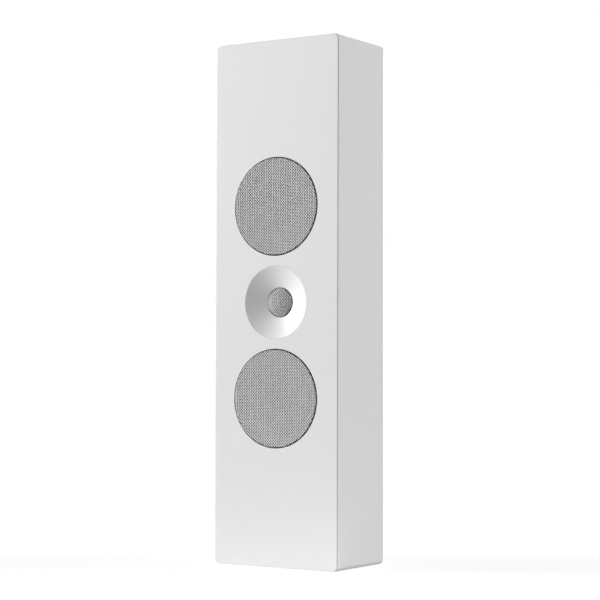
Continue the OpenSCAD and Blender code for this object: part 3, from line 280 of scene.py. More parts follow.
class Figure:
    """A node group in the making: Vector and Scale go in, Height and Mask come out.

    Height is the figure's relief, and Mask says where its own tint lies. Each pattern has a method
    of its own, which draws it at the point p = (x, y, z) with s features to the metre.
    """

    SOCKETS = (
        ("Vector", "INPUT", "NodeSocketVector"),
        ("Scale", "INPUT", "NodeSocketFloat"),
        ("Height", "OUTPUT", "NodeSocketFloat"),
        ("Mask", "OUTPUT", "NodeSocketFloat"),
    )

    def __init__(self, name: str) -> None:
        """Makes the group, with nothing drawn in it.

        Args:
            name: the group's name.
        """
        self.group = bpy.data.node_groups.new(name, "ShaderNodeTree")
        self.work = Tree(self.group)
        for socket, way, kind in self.SOCKETS:
            self.group.interface.new_socket(name=socket, in_out=way, socket_type=kind)
        entry = self.work.node("NodeGroupInput")
        self.vector, self.scale = entry.outputs["Vector"], entry.outputs["Scale"]

    def close(self, height: Socket, mask: Socket) -> bpy.types.NodeTree:
        """Links what comes out, and returns the finished group."""
        self.work.node("NodeGroupOutput", {"Height": height, "Mask": mask})
        return self.group

    def finer(self, times: float) -> Socket:
        """The scale, made finer by a number."""
        return self.work.math("MULTIPLY", self.scale, times)

    def soft_clouds(self) -> tuple[Socket, Socket]:
        """Wide soft clouds: 0.7 of a slow noise and 0.3 of a fast one, spread to run from 0 to 1.

        Returns:
            Height and mask.
        """
        slow = self.work.noise(self.vector, self.scale, detail=3.0)
        fast = self.work.noise(self.vector, self.finer(7.3), detail=2.0)
        both = self.work.math("MULTIPLY_ADD", fast, 0.3, self.work.math("MULTIPLY", slow, 0.7))
        spread = {"Value": both, "From Min": 0.36, "From Max": 0.64}
        mask = self.work.node("ShaderNodeMapRange", spread, interpolation_type="SMOOTHSTEP")
        return both, mask.outputs[0]

    def sprayed_coat(self) -> tuple[Socket, Socket]:
        """Low rounded swells of a sprayed coat: a noise, and 0.4 of one twice as fine.

        Returns:
            Height and mask.
        """
        swell = self.work.noise(self.vector, self.scale, detail=1.0)
        ripple = self.work.noise(self.vector, self.finer(2.1), detail=1.0)
        return self.work.math("MULTIPLY_ADD", ripple, 0.4, swell), ripple

    def spark_grain(self) -> tuple[Socket, Socket]:
        """Fine pitted grain: distance to scattered points, roughened with noise.

        Returns:
            Height and mask.
        """
        pits = {"Vector": self.vector, "Scale": self.scale}
        far = self.work.node("ShaderNodeTexVoronoi", pits).outputs[0]
        rough = self.work.noise(self.vector, self.finer(1.7), detail=4.0)
        height = self.work.math("MULTIPLY_ADD", far, 0.6, rough)
        peaks = self.work.math("SUBTRACT", height, 0.65)
        return height, self.work.math("SMOOTH_MAX", peaks, 0.0, 0.1)

    def woven_threads(self) -> tuple[Socket, Socket]:
        """Crossed threads: half of 1 + sin(2 pi s x) sin(2 pi s z).

        Returns:
            Height and mask.
        """
        part = self.work.part(self.vector)
        turn = self.finer(2.0 * math.pi)
        across = self.work.math("SINE", self.work.math("MULTIPLY", part.outputs["X"], turn))
        upward = self.work.math("SINE", self.work.math("MULTIPLY", part.outputs["Z"], turn))
        cross = self.work.math("MULTIPLY", across, upward)
        height = self.work.math("MULTIPLY_ADD", cross, 0.5, 0.5)
        return height, self.work.math("SUBTRACT", 1.0, height)

    def turned_rings(self) -> tuple[Socket, Socket]:
        """Rings about the Y axis: half of 1 + sin(2 pi s r), where r^2 = x^2 + z^2.

        Returns:
            Height and mask.
        """
        part = self.work.part(self.vector)
        x, z = part.outputs["X"], part.outputs["Z"]
        squares = self.work.math("MULTIPLY_ADD", z, z, self.work.math("MULTIPLY", x, x))
        radius = self.work.math("SQRT", squares)
        turn = self.work.math("MULTIPLY", radius, self.finer(2.0 * math.pi))
        height = self.work.math("MULTIPLY_ADD", self.work.math("SINE", turn), 0.5, 0.5)
        noise = self.work.noise(self.vector, self.scale, detail=2.0)
        return height, self.work.math("MULTIPLY", height, noise)

    def wound_turns(self) -> tuple[Socket, Socket]:
        """Wire wound along an axis: the size of sin(pi s (y + z)), so each turn is round.

        Returns:
            Height and mask.
        """
        part = self.work.part(self.vector)
        along = self.work.math("ADD", part.outputs["Y"], part.outputs["Z"])
        wave = self.work.math("SINE", self.work.math("MULTIPLY", along, self.finer(math.pi)))
        height = self.work.math("ABSOLUTE", wave)
        return height, self.work.math("SUBTRACT", 1.0, height)

    def foam_cells(self) -> tuple[Socket, Socket]:
        """Open foam: 1 less the distance to the walls between scattered cells.

        Returns:
            Height and mask.
        """
        cells = {"Vector": self.vector, "Scale": self.scale}
        walls = self.work.node("ShaderNodeTexVoronoi", cells, feature="DISTANCE_TO_EDGE")
        distance = walls.outputs[0]
        height = self.work.math("SUBTRACT", 1.0, distance)
        twice = self.work.math("MULTIPLY", distance, 2.0)
        return height, self.work.math("MINIMUM", twice, 1.0)

    def pressed_fibres(self) -> tuple[Socket, Socket]:
        """Short fibres in two directions: the higher of a noise drawn out along X and along Z.

        Returns:
            Height and mask.
        """
        drawn = []
        for stretch in ((0.22, 1.0, 1.0), (1.0, 1.0, 0.22)):
            place = {0: self.vector, 1: stretch}
            moved = self.work.node("ShaderNodeVectorMath", place, operation="MULTIPLY")
            drawn.append(self.work.noise(moved.outputs[0], self.scale, detail=3.0))
        height = self.work.math("MAXIMUM", *drawn)
        spread = {"Value": height, "From Min": 0.5, "From Max": 0.75}
        return height, self.work.node("ShaderNodeMapRange", spread).outputs[0]

    def board_tracks(self) -> tuple[Socket, Socket]:
        """Copper tracks under a board's varnish: the joints of a brick pattern in X and Y.

        Returns:
            Height and mask.
        """
        joints = {"Vector": self.vector, "Scale": self.scale}
        joints |= {"Mortar Size": 0.07, "Mortar Smooth": 0.2}
        mask = self.work.node("ShaderNodeTexBrick", joints).outputs["Fac"]
        return mask, mask


class Effects:
    """Shader node groups that the finishes share, each built once."""

    def __init__(self) -> None:
        """Starts with no group made."""
        self.made: dict[Pattern, bpy.types.NodeTree] = {}

    def pattern(self, pattern: Pattern) -> bpy.types.NodeTree:
        """The group of a pattern, drawn at its first use.

        Args:
            pattern: which one.

        Returns:
            Its group.
        """
        if pattern not in self.made:
            figure = Figure(pattern.value)
            height, mask = getattr(figure, pattern.value)()
            self.made[pattern] = figure.close(height, mask)
        return self.made[pattern]


@dataclass(frozen=True)
class Finish:
    """One finish: its colours, its gloss and the small figure in its surface.

    Args:
        name: the material's name.
        slot: the record's material slot; not used.
        colour: main colour, linear.
        tint: second colour, which the clouds and the pattern lead to.
        pattern: the figure.
        size: width of one feature of the figure, in millimetres.
        relief: depth of the figure, in millimetres.
        gloss: roughness where the clouds are low, and where they are high.
        metallic: 0 or 1.
        coat: weight of a clear coat.
        coat_gloss: roughness of that coat.
        clouded: share of the tint that the clouds bring in.
        figured: share of the tint that the figure brings in.
        cloud_size: width of a cloud, in millimetres.
    """

    name: str
    slot: str
    colour: Colour
    tint: Colour
    pattern: Pattern
    size: float
    relief: float
    gloss: tuple[float, float]
    metallic: float = 0.0
    coat: float = 0.0
    coat_gloss: float = 0.25
    clouded: float = 0.4
    figured: float = 0.0
    cloud_size: float = 45.0

    def material(self, effects: Effects) -> bpy.types.Material:
        """Builds the material from the shared groups.

        Args:
            effects: the groups.

        Returns:
            The material.
        """
        made = bpy.data.materials.new(self.name)
        made.use_nodes = True
        made.diffuse_color = (*self.colour, 1.0)
        work = Tree(made.node_tree)
        place = work.node("ShaderNodeTexCoord").outputs["Object"]
        clouds = self.group(work, effects.pattern(Pattern.CLOUDS), place, self.cloud_size)
        figure = self.group(work, effects.pattern(self.pattern), place, self.size)
        share = work.math("MULTIPLY", clouds.outputs["Mask"], self.clouded)
        if self.figured:
            share = work.math("MULTIPLY_ADD", figure.outputs["Mask"], self.figured, share)
        # A Mix node's inputs 0, 6 and 7 are its factor and its colours, and output 2 its colour.
        mixed = {0: share, 6: (*self.colour, 1.0), 7: (*self.tint, 1.0)}
        gloss = {
            "Value": clouds.outputs["Mask"],
            "To Min": self.gloss[0],
            "To Max": self.gloss[1],
        }
        relief = {
            "Height": figure.outputs["Height"],
            "Strength": 1.0,
            "Distance": self.relief * MM,
        }
        shader = {
            "Base Color": work.node("ShaderNodeMix", mixed, data_type="RGBA").outputs[2],
            "Roughness": work.node("ShaderNodeMapRange", gloss).outputs[0],
            "Metallic": self.metallic,
            "Coat Weight": self.coat,
            "Coat Roughness": self.coat_gloss,
            "Normal": work.node("ShaderNodeBump", relief).outputs[0],
        }
        surface = work.node("ShaderNodeBsdfPrincipled", shader).outputs[0]
        work.node("ShaderNodeOutputMaterial", {"Surface": surface})
        return made

    @staticmethod
    def group(
        work: Tree, group: bpy.types.NodeTree, place: Socket, size: float
    ) -> bpy.types.Node:
        """Places a group, with features of the given size in millimetres."""
        values = {"Vector": place, "Scale": 1.0 / (size * MM)}
        return work.node("ShaderNodeGroup", values, node_tree=group)


# ---- Finishes

WHITE_LACQUER = Finish(
    "white_satin_lacquer", "lacquer", (0.80, 0.80, 0.80), (0.785, 0.785, 0.782),
    Pattern.PEEL, 2.6, 0.004, (0.40, 0.46), coat=0.12, cloud_size=90.0,
)
PANEL_LACQUER = Finish(
    "rear_panel_lacquer", "panel_lacquer", (0.78, 0.78, 0.78), (0.755, 0.755, 0.75),
    Pattern.PEEL, 1.4, 0.008, (0.52, 0.60), cloud_size=70.0,
)
WHITE_MOULDING = Finish(
    "white_moulding", "moulding", (0.88, 0.88, 0.88), (0.87, 0.87, 0.868),
    Pattern.GRAIN, 0.5, 0.002, (0.34, 0.38), coat=0.25, cloud_size=60.0,
)
GREY_MESH = Finish(
    "painted_woven_wire", "mesh", (0.84, 0.84, 0.84), (0.77, 0.77, 0.775),
    Pattern.PEEL, 0.5, 0.01, (0.38, 0.5), clouded=0.5, cloud_size=14.0,
)
RAW_BOARD = Finish(
    "raw_fibreboard", "fibreboard", (0.42, 0.30, 0.18), (0.30, 0.20, 0.12),
    Pattern.FIBRE, 1.2, 0.06, (0.78, 0.9), figured=0.5,
)
BLACK_FOAM = Finish(
    "black_gasket_foam", "foam", (0.03, 0.03, 0.032), (0.012, 0.012, 0.013),
    Pattern.CELLS, 0.5, 0.08, (0.85, 0.95), figured=0.6,
)
GREY_FELT = Finish(
    "grey_wadding", "felt", (0.26, 0.26, 0.27), (0.16, 0.16, 0.17),
    Pattern.FIBRE, 0.8, 0.25, (0.9, 1.0), figured=0.7, cloud_size=20.0,
)
CAST_METAL = Finish(
    "painted_casting", "cast", (0.035, 0.036, 0.04), (0.05, 0.05, 0.054),
    Pattern.GRAIN, 0.7, 0.03, (0.42, 0.56), figured=0.3,
)
SOFT_RUBBER = Finish(
    "soft_rubber", "rubber", (0.018, 0.018, 0.019), (0.03, 0.03, 0.031),
    Pattern.GRAIN, 0.4, 0.01, (0.55, 0.68),
)
BLACK_PULP = Finish(
    "black_paper_pulp", "paper", (0.03, 0.03, 0.032), (0.055, 0.055, 0.056),
    Pattern.FIBRE, 0.9, 0.05, (0.75, 0.9), figured=0.6, cloud_size=25.0,
)
SPIDER_CLOTH = Finish(
    "varnished_cotton", "spider", (0.45, 0.27, 0.08), (0.30, 0.17, 0.05),
    Pattern.WEAVE, 0.7, 0.08, (0.65, 0.8), figured=0.6,
)
COPPER_WIRE = Finish(
    "enamelled_copper", "copper", (0.72, 0.30, 0.14), (0.40, 0.14, 0.06),
    Pattern.TURNS, 0.6, 0.12, (0.25, 0.36), metallic=1.0, figured=0.7,
)
ZINC_STEEL = Finish(
    "zinc_plated_steel", "steel", (0.50, 0.51, 0.52), (0.42, 0.43, 0.45),
    Pattern.GRAIN, 0.6, 0.003, (0.56, 0.68), metallic=1.0, cloud_size=12.0,
)
FERRITE = Finish(
    "pressed_ferrite", "ferrite", (0.035, 0.034, 0.036), (0.06, 0.058, 0.06),
    Pattern.GRAIN, 0.35, 0.02, (0.5, 0.7), figured=0.4,
)
BLACK_PLASTIC = Finish(
    "black_textured_plastic", "black_plastic", (0.018, 0.018, 0.019), (0.028, 0.028, 0.03),
    Pattern.GRAIN, 0.45, 0.02, (0.42, 0.54), figured=0.3,
)
RED_PLASTIC = Finish(
    "red_plastic", "red_plastic", (0.42, 0.012, 0.012), (0.32, 0.008, 0.01),
    Pattern.GRAIN, 0.45, 0.008, (0.32, 0.42),
)
GOLD_PLATE = Finish(
    "gold_plate", "gold", (0.85, 0.60, 0.24), (0.78, 0.52, 0.2),
    Pattern.RINGS, 0.35, 0.004, (0.2, 0.3), metallic=1.0, cloud_size=8.0,
)
DOME_SILK = Finish(
    "doped_silk", "silk", (0.035, 0.035, 0.04), (0.06, 0.06, 0.066),
    Pattern.WEAVE, 0.35, 0.03, (0.45, 0.6), figured=0.5,
)
GREEN_BOARD = Finish(
    "varnished_board", "circuit", (0.02, 0.11, 0.045), (0.05, 0.2, 0.08),
    Pattern.TRACKS, 9.0, 0.05, (0.28, 0.4), figured=0.8, clouded=0.1,
)
BLACK_SCREW = Finish(
    "black_oxide_screw", "screw", (0.05, 0.05, 0.054), (0.09, 0.09, 0.095),
    Pattern.GRAIN, 0.4, 0.008, (0.34, 0.48), metallic=1.0, cloud_size=4.0,
)
FILM_SLEEVE = Finish(
    "blue_film_sleeve", "film_blue", (0.02, 0.06, 0.28), (0.015, 0.04, 0.2),
    Pattern.PEEL, 1.5, 0.02, (0.3, 0.42),
)
WHITE_CERAMIC = Finish(
    "cement_body", "ceramic", (0.66, 0.64, 0.58), (0.52, 0.5, 0.45),
    Pattern.GRAIN, 0.9, 0.06, (0.75, 0.9), figured=0.5,
)

NODE_FINISHES: dict[str, Finish] = {
    "cabinet": WHITE_LACQUER,
    "rear_panel": PANEL_LACQUER,
    "rear_panel_gasket": BLACK_FOAM,
    "rear_panel_screws": BLACK_SCREW,
    "upper_brace": RAW_BOARD,
    "lower_brace": RAW_BOARD,
    "upper_damping_pad": GREY_FELT,
    "lower_damping_pad": GREY_FELT,
    "woofer_screws": BLACK_SCREW,
    "waveguide": WHITE_MOULDING,
    "waveguide_gasket": BLACK_FOAM,
    "waveguide_screws": BLACK_SCREW,
    "tweeter_grille": GREY_MESH,
    "tweeter_face_plate": CAST_METAL,
    "tweeter_diaphragm": DOME_SILK,
    "tweeter_top_plate": ZINC_STEEL,
    "tweeter_magnet": FERRITE,
    "tweeter_yoke": ZINC_STEEL,
    "tweeter_rear_chamber": BLACK_PLASTIC,
    "tweeter_screws": BLACK_SCREW,
    "terminal_cup": BLACK_PLASTIC,
    "binding_posts": GOLD_PLATE,
    "red_post_knob": RED_PLASTIC,
    "black_post_knob": BLACK_PLASTIC,
    "binding_post_nuts": GOLD_PLATE,
    "left_hanger_plate": ZINC_STEEL,
    "right_hanger_plate": ZINC_STEEL,
    "small_panel_screws": BLACK_SCREW,
    "crossover_board": GREEN_BOARD,
    "crossover_spacers": BLACK_PLASTIC,
    "crossover_screws": BLACK_SCREW,
    "crossover_coils": COPPER_WIRE,
    "crossover_capacitors": FILM_SLEEVE,
    "crossover_resistors": WHITE_CERAMIC,
    "driver_cables": SOFT_RUBBER,
    "input_cables": SOFT_RUBBER,
}
WOOFER_FINISHES: dict[str, Finish] = {
    "grille": GREY_MESH,
    "basket": CAST_METAL,
    "gasket": BLACK_FOAM,
    "surround": SOFT_RUBBER,
    "cone": BLACK_PULP,
    "dust_cap": BLACK_PULP,
    "spider": SPIDER_CLOTH,
    "voice_coil": COPPER_WIRE,
    "top_plate": ZINC_STEEL,
    "magnet": FERRITE,
    "yoke": ZINC_STEEL,
    "tag_strip": BLACK_PLASTIC,
}


class PaintShop:
    """Makes each finish's material once and puts it on pieces and CAD nodes."""

    def __init__(self) -> None:
        """Starts with empty shelves."""
        self.effects = Effects()
        self.pots: dict[str, bpy.types.Material] = {}

    def pot(self, finish: Finish) -> bpy.types.Material:
        """The material of a finish, made at its first use.

        Args:
            finish: the finish.

        Returns:
            Its material.
        """
        if finish.name not in self.pots:
            self.pots[finish.name] = finish.material(self.effects)
        return self.pots[finish.name]

    def paint(self, piece: bpy.types.Object, finish: Finish) -> None:
        """Puts a finish in every material slot of a piece.

        Args:
            piece: a new piece or a CAD node.
            finish: its finish.
        """
        if not piece.material_slots:
            piece.data.materials.append(None)
        for slot in piece.material_slots:
            slot.material = self.pot(finish)

    def deliver(self, piece: bpy.types.Object, finish: Finish, *nodes: str) -> None:
        """Paints a new piece, sets it on the body and lets it stand for its CAD nodes.

        Args:
            piece: the new piece.
            finish: its finish.
            nodes: the CAD nodes that it replaces.
        """
        self.paint(piece, finish)
        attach(piece, "root")
        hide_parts(*nodes)
        faces = len(piece.data.polygons)
        LOG.info("%s: %d faces, %s, for %s", piece.name, faces, finish.name, ", ".join(nodes))

    def dress_nodes(self) -> None:
        """Gives every CAD node its finish, with the woofers' parts found by their last words."""
        for name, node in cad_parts.items():
            finish = NODE_FINISHES.get(name)
            if finish is None:
                finish = WOOFER_FINISHES[name.split("_woofer_")[1]]
            self.paint(node, finish)
            LOG.info("%s: %s", name, finish.name)


# ---- Sub-assemblies


@dataclass
class Hole:
    """A round hole through the baffle, with a wider recess in front of it.

    Args:
        z: height of its middle.
        recess_r: radius of the recess.
        depth: depth of the recess.
        hole_r: radius of the hole behind it.
        softness: radius of the recess's front edge.
    """

    z: float
    recess_r: float
    depth: float
    hole_r: float
    softness: float


@dataclass
class Cabinet:
    """The lacquered box: outer skin, front with three recesses, rebate for the rear panel, room.

    Args:
        width: outside width.
        depth: outside depth.
        height: outside height.
        corner_r: radius of the four corners, as the front shows them.
        front_edge_r: radius of the edge round the front.
        rear_edge_r: radius of the edge round the back.
        wall: thickness of the four walls.
        baffle: thickness of the front.
        rim: width of the edge round the rear panel.
        rebate: depth of the rear panel's seat.
        rebate_r: radius of that seat's corners.
        land: least distance from a recess to the lines between the recesses.
        across: chords over the width.
        upward: chords up the side between two lines.
        arc: chords round a corner.
        front_steps: chords round the front edge.
        rear_steps: chords round the rear edge.
        lip_steps: chords round a recess's front edge.
        holes: the three holes, from the lowest up.
    """

    width: float = 167.0
    depth: float = 104.0
    height: float = 600.0
    corner_r: float = 6.0
    front_edge_r: float = 1.0
    rear_edge_r: float = 5.0
    wall: float = 18.0
    baffle: float = 22.0
    rim: float = 7.0
    rebate: float = 13.0
    rebate_r: float = 5.0
    land: float = 5.475
    across: int = 48
    upward: int = 36
    arc: int = 8
    front_steps: int = 5
    rear_steps: int = 10
    lip_steps: int = 4
    holes: tuple[Hole, ...] = (
        Hole(LOWER_Z, recess_r=56.5, depth=12.0, hole_r=47.0, softness=0.12),
        Hole(TWEETER_Z, recess_r=41.85, depth=14.0, hole_r=33.5, softness=0.04),
        Hole(UPPER_Z, recess_r=56.5, depth=12.0, hole_r=47.0, softness=0.12),
    )

    @property
    def front(self) -> float:
        """Y of the front face."""
        return -self.depth / 2.0

    def cuts(self) -> Array:
        """Heights of the lines between the round holes.

        Returns:
            Four heights, from below the first hole to above the last.
        """
        low, middle, high = self.holes
        return np.array(
            [
                low.z - low.recess_r - self.land,
                middle.z - middle.recess_r - self.land,
                middle.z + middle.recess_r + self.land,
                high.z + high.recess_r + self.land,
            ]
        )

    def side_stops(self) -> Array:
        """Heights of the outline's points on its straight sides, the same on every ring.

        Returns:
            Heights, rising.
        """
        cuts = self.cuts()
        spans = [
            np.linspace(low, high, self.upward, endpoint=False)
            for low, high in zip(cuts[:-1], cuts[1:])
        ]
        return np.concatenate([*spans, cuts[-1:]])

    def end(self, inset: float, radius: float, top: bool) -> Array:
        """Top or bottom of the outline from right to left: corner arc, straight edge, corner arc.

        Args:
            inset: distance in from the box's side.
            radius: radius of the corners.
            top: True for the top.

        Returns:
            Points (x, z) shaped (across + 1, 2).
        """
        half = self.width / 2.0 - inset - radius
        level = self.height - inset - radius
        right = quarter((half, level), radius, 0.0, self.arc)
        left = quarter((-half, level), radius, 90.0, self.arc)
        share = np.linspace(0.0, 1.0, self.across - 2 * self.arc + 1)[1:-1, None]
        edge = right[-1] + (left[0] - right[-1]) * share
        points = np.concatenate([right, edge, left])
        if not top:
            points = points * (1.0, -1.0) + (0.0, self.height)
        return points

    def outline(self, inset: float, radius: float, y: float) -> Array:
        """Closed outline of the box: up the right side, over the top, and down the left side.

        Args:
            inset: distance in from the box's side.
            radius: radius of the corners.
            y: where the outline lies.

        Returns:
            Points (x, y, z).
        """
        side = self.width / 2.0 - inset
        stops = self.side_stops()
        right = np.stack([np.full_like(stops, side), stops], axis=1)
        left = np.stack([np.full_like(stops, -side), stops[::-1]], axis=1)
        loop = np.concatenate(
            [right, self.end(inset, radius, True), left, self.end(inset, radius, False)[::-1]]
        )
        return np.insert(loop, 1, y, axis=1)

    def border(self, side: float, number: int) -> Array:
        """Rectangle round one hole, anticlockwise from its lower right corner.

        Args:
            side: half its width.
            number: the hole's number, from the lowest up.

        Returns:
            Points (x, z).
        """
        low, high = self.cuts()[number : number + 2]
        x = np.linspace(side, -side, self.across, endpoint=False)
        z = np.linspace(low, high, self.upward, endpoint=False)
        return np.concatenate(
            [
                np.stack([np.full_like(z, side), z], axis=1),
                np.stack([x, np.full_like(x, high)], axis=1),
                np.stack([np.full_like(z, -side), low + high - z], axis=1),
                np.stack([-x, np.full_like(x, low)], axis=1),
            ]
        )

    def circle(self, side: float, number: int, radius: float, y: float) -> Array:
        """Circle whose points lie on the rays from a hole's centre to its rectangle's points.

        Args:
            side: half the rectangle's width.
            number: the hole's number, from the lowest up.
            radius: the circle's radius.
            y: where the circle lies.

        Returns:
            Points (x, y, z).
        """
        ray = self.border(side, number) - (0.0, self.holes[number].z)
        ray = ray / np.linalg.norm(ray, axis=1, keepdims=True)
        return np.insert(ray * radius + (0.0, self.holes[number].z), 1, y, axis=1)

    def face(self, shell: Shell, inset: float, radius: float, y: float, holes: Array) -> None:
        """Flat face with three round holes: lines ruled from each hole to its rectangle.

        Args:
            shell: takes the patches.
            inset: distance of the face's edge in from the box's side.
            radius: radius of the face's corners.
            y: where the face lies.
            holes: radii of the three holes.
        """
        side = self.width / 2.0 - inset
        for number, hole_r in enumerate(holes):
            rim = np.insert(self.border(side, number), 1, y, axis=1)
            shell.grid(ruled(self.circle(side, number, hole_r, y), rim), close_v=True)
        x = np.linspace(side, -side, self.across + 1)
        for top, level in ((True, self.cuts()[-1]), (False, self.cuts()[0])):
            line = np.stack([x, np.full_like(x, y), np.full_like(x, level)], axis=1)
            shell.grid(ruled(line, np.insert(self.end(inset, radius, top), 1, y, axis=1)))

    def skin(self) -> Array:
        """Profile from the front face round the outside and over the rear rim into the room.

        Returns:
            Points (inset, corner radius, y).
        """
        rear = self.depth / 2.0
        soft, round_r = self.front_edge_r, self.rear_edge_r
        front = quarter((soft, self.front + soft), soft, 180.0, self.front_steps)[::-1]
        back = quarter((round_r, rear - round_r), round_r, 90.0, self.rear_steps)[::-1]
        outside = np.concatenate([front, back])
        corner = np.clip(self.corner_r - outside[:, 0], 0.0, None)
        outside = np.stack([outside[:, 0], corner, outside[:, 1]], axis=1)
        ledge = rear - self.rebate
        inside = [
            (self.rim, self.rebate_r, rear),
            (self.rim, self.rebate_r, ledge),
            (self.wall, 0.0, ledge),
            (self.wall, 0.0, self.front + self.baffle),
        ]
        return np.concatenate([outside, np.array(inside)])

    def build(self, shop: PaintShop) -> None:
        """Makes the box and sets it in place of the CAD node.

        Args:
            shop: paints and delivers it.
        """
        shell = Shell()
        shell.grid(np.stack([self.outline(*ring) for ring in self.skin()]), close_v=True)
        back = self.front + self.baffle
        front_r = np.array([hole.recess_r + hole.softness for hole in self.holes])
        rear_r = np.array([hole.hole_r for hole in self.holes])
        front_inset, corner = self.front_edge_r, self.corner_r - self.front_edge_r
        self.face(shell, front_inset, corner, self.front, front_r)
        self.face(shell, self.wall, 0.0, back, rear_r)
        outer = self.width / 2.0 - front_inset
        inner = self.width / 2.0 - self.wall
        for number, hole in enumerate(self.holes):
            soft = hole.softness
            lip = quarter((hole.recess_r + soft, soft), soft, 180.0, self.lip_steps)
            floor = self.front + hole.depth
            rings = [
                self.circle(outer, number, radius, self.front + down) for radius, down in lip[::-1]
            ]
            rings += [
                self.circle(outer, number, hole.recess_r, floor),
                self.circle(inner, number, hole.hole_r, floor),
                self.circle(inner, number, hole.hole_r, back),
            ]
            shell.grid(np.stack(rings), close_v=True)
        shop.deliver(shell.piece("cabinet_box"), WHITE_LACQUER, "cabinet")


@dataclass
class Waveguide:
    """The moulded cone round the tweeter, with its outer wall, throat and ribs.

    Args:
        centre: middle of its mouth, on the baffle's front.
        mouth_r: outer radius.
        throat_r: radius of the throat.
        depth: depth of the cone at the throat.
        back: depth of the whole moulding.
        wall: thickness of the cone and of the throat.
        rim_wall: thickness of the outer wall.
        edge_r: radius of the mouth's rim.
        edge_drop: how far the middle of that rounding lies behind the baffle's front.
        edge_steps: points round the rim.
        lip_r: radius of the edge between cone and throat.
        lip_in: how far the middle of that rounding lies outside the throat.
        lip_steps: chords round that edge.
        turns: steps round the axis.
        ribs: number of ribs.
        rib_t: thickness of a rib.
        rib_rise: how far the ribs stop short of the back.
    """

    centre: Point = (0.0, FRONT_Y, TWEETER_Z)
    mouth_r: float = 41.75
    throat_r: float = 17.0
    depth: float = 9.8
    back: float = 13.0
    wall: float = 2.4
    rim_wall: float = 1.4
    edge_r: float = 0.2
    edge_drop: float = 0.24
    edge_steps: int = 6
    lip_r: float = 0.35
    lip_in: float = 0.4
    lip_steps: int = 4
    turns: int = 192
    ribs: int = 12
    rib_t: float = 1.6
    rib_rise: float = 1.5

    @property
    def slope(self) -> float:
        """How far the cone drops for each millimetre inwards."""
        return self.depth / (self.mouth_r - self.throat_r)

    def profile(self) -> Array:
        """Section of the moulding: soft rim, cone face, throat, underside and outer wall.

        Returns:
            Points (radius, y) of a closed line, with y from the baffle's front.
        """
        tilt = math.degrees(math.atan(self.slope))
        centre = np.array([self.mouth_r - self.edge_r, self.edge_drop])
        turn = np.radians(np.linspace(0.0, -90.0 - tilt, self.edge_steps))
        rim = centre + self.edge_r * np.stack([np.cos(turn), np.sin(turn)], axis=1)
        middle = (self.throat_r + self.lip_in, self.depth + self.lip_r)
        lip = quarter(middle, self.lip_r, 180.0, self.lip_steps)[::-1]
        under = self.depth + self.wall
        rest = [
            (self.throat_r, self.back),
            (self.throat_r + self.wall, self.back),
            (self.throat_r + self.wall, under),
            (self.mouth_r - self.rim_wall, self.rim_wall * self.slope + self.wall),
            (self.mouth_r - self.rim_wall, self.back),
            (self.mouth_r, self.back),
        ]
        return np.concatenate([rim, lip, np.array(rest)])

    def rib_plates(self) -> Array:
        """The ribs: one plate under the cone, turned to evenly spaced angles.

        Returns:
            Points shaped (ribs, 2 sides, 4 corners, 3).
        """
        low = self.back - self.rib_rise
        near, far = self.throat_r + self.wall / 2.0, self.mouth_r - self.rim_wall / 2.0
        section = np.array(
            [
                (near, low),
                (near, self.depth + self.wall / 2.0),
                (far, self.slope * self.rim_wall / 2.0 + self.wall / 2.0),
                (far, low),
            ]
        )
        angle = np.linspace(0.0, 2.0 * np.pi, self.ribs, endpoint=False)[:, None, None]
        side = np.array([-0.5, 0.5])[None, :, None] * self.rib_t
        radius, down = section[None, None, :, 0], section[None, None, :, 1]
        x = self.centre[0] + radius * np.cos(angle) - side * np.sin(angle)
        z = self.centre[2] + radius * np.sin(angle) + side * np.cos(angle)
        y = self.centre[1] + down + 0.0 * x
        return np.stack([x, y, z], axis=-1)

    def build(self, shop: PaintShop) -> None:
        """Makes the moulding and sets it in place of the CAD node.

        Args:
            shop: paints and delivers it.
        """
        shell = Shell()
        shell.grid(revolve(self.profile(), self.centre, self.turns), close_u=True, close_v=True)
        for plate in self.rib_plates():
            shell.grid(plate, close_v=True)
            for side in plate:
                shell.grid(side[[0, 1, 3, 2]].reshape(2, 2, 3))
        shop.deliver(shell.piece("waveguide_moulding"), WHITE_MOULDING, "waveguide")


@dataclass
class Former:
    """Round form that a flat woven sheet is pressed over: flat or domed, then a bend and a skirt.

    Args:
        flat_r: distance along the sheet, from its middle, at which the bend starts.
        bend_r: radius of the bend.
        ball_r: radius of the dome, or 0 for a flat top.
    """

    flat_r: float
    bend_r: float
    ball_r: float = 0.0

    def press(self, run: Array) -> tuple[Array, Array, Array]:
        """Where the sheet lies at a distance along it from its middle.

        The top is a straight line or the arc r = B sin(s / B). Past flat_r the sheet turns down
        through the bend, by s / bend_r, until it points straight back.

        Args:
            run: distances along the sheet.

        Returns:
            Radius, depth below the middle, and the sheet's tilt, as arrays like run.
        """
        top = np.minimum(run, self.flat_r)
        if self.ball_r:
            tilt = top / self.ball_r
            radius, depth = self.ball_r * np.sin(tilt), self.ball_r * (1.0 - np.cos(tilt))
        else:
            tilt, radius, depth = 0.0 * top, top, 0.0 * top
        past = np.maximum(run - self.flat_r, 0.0)
        bent = np.minimum(past / self.bend_r, np.pi / 2.0 - tilt)
        turned = tilt + bent
        radius = radius + self.bend_r * (np.sin(turned) - np.sin(tilt))
        depth = depth + self.bend_r * (np.cos(tilt) - np.cos(turned))
        depth = depth + np.maximum(past - self.bend_r * bent, 0.0)
        return radius, depth, turned


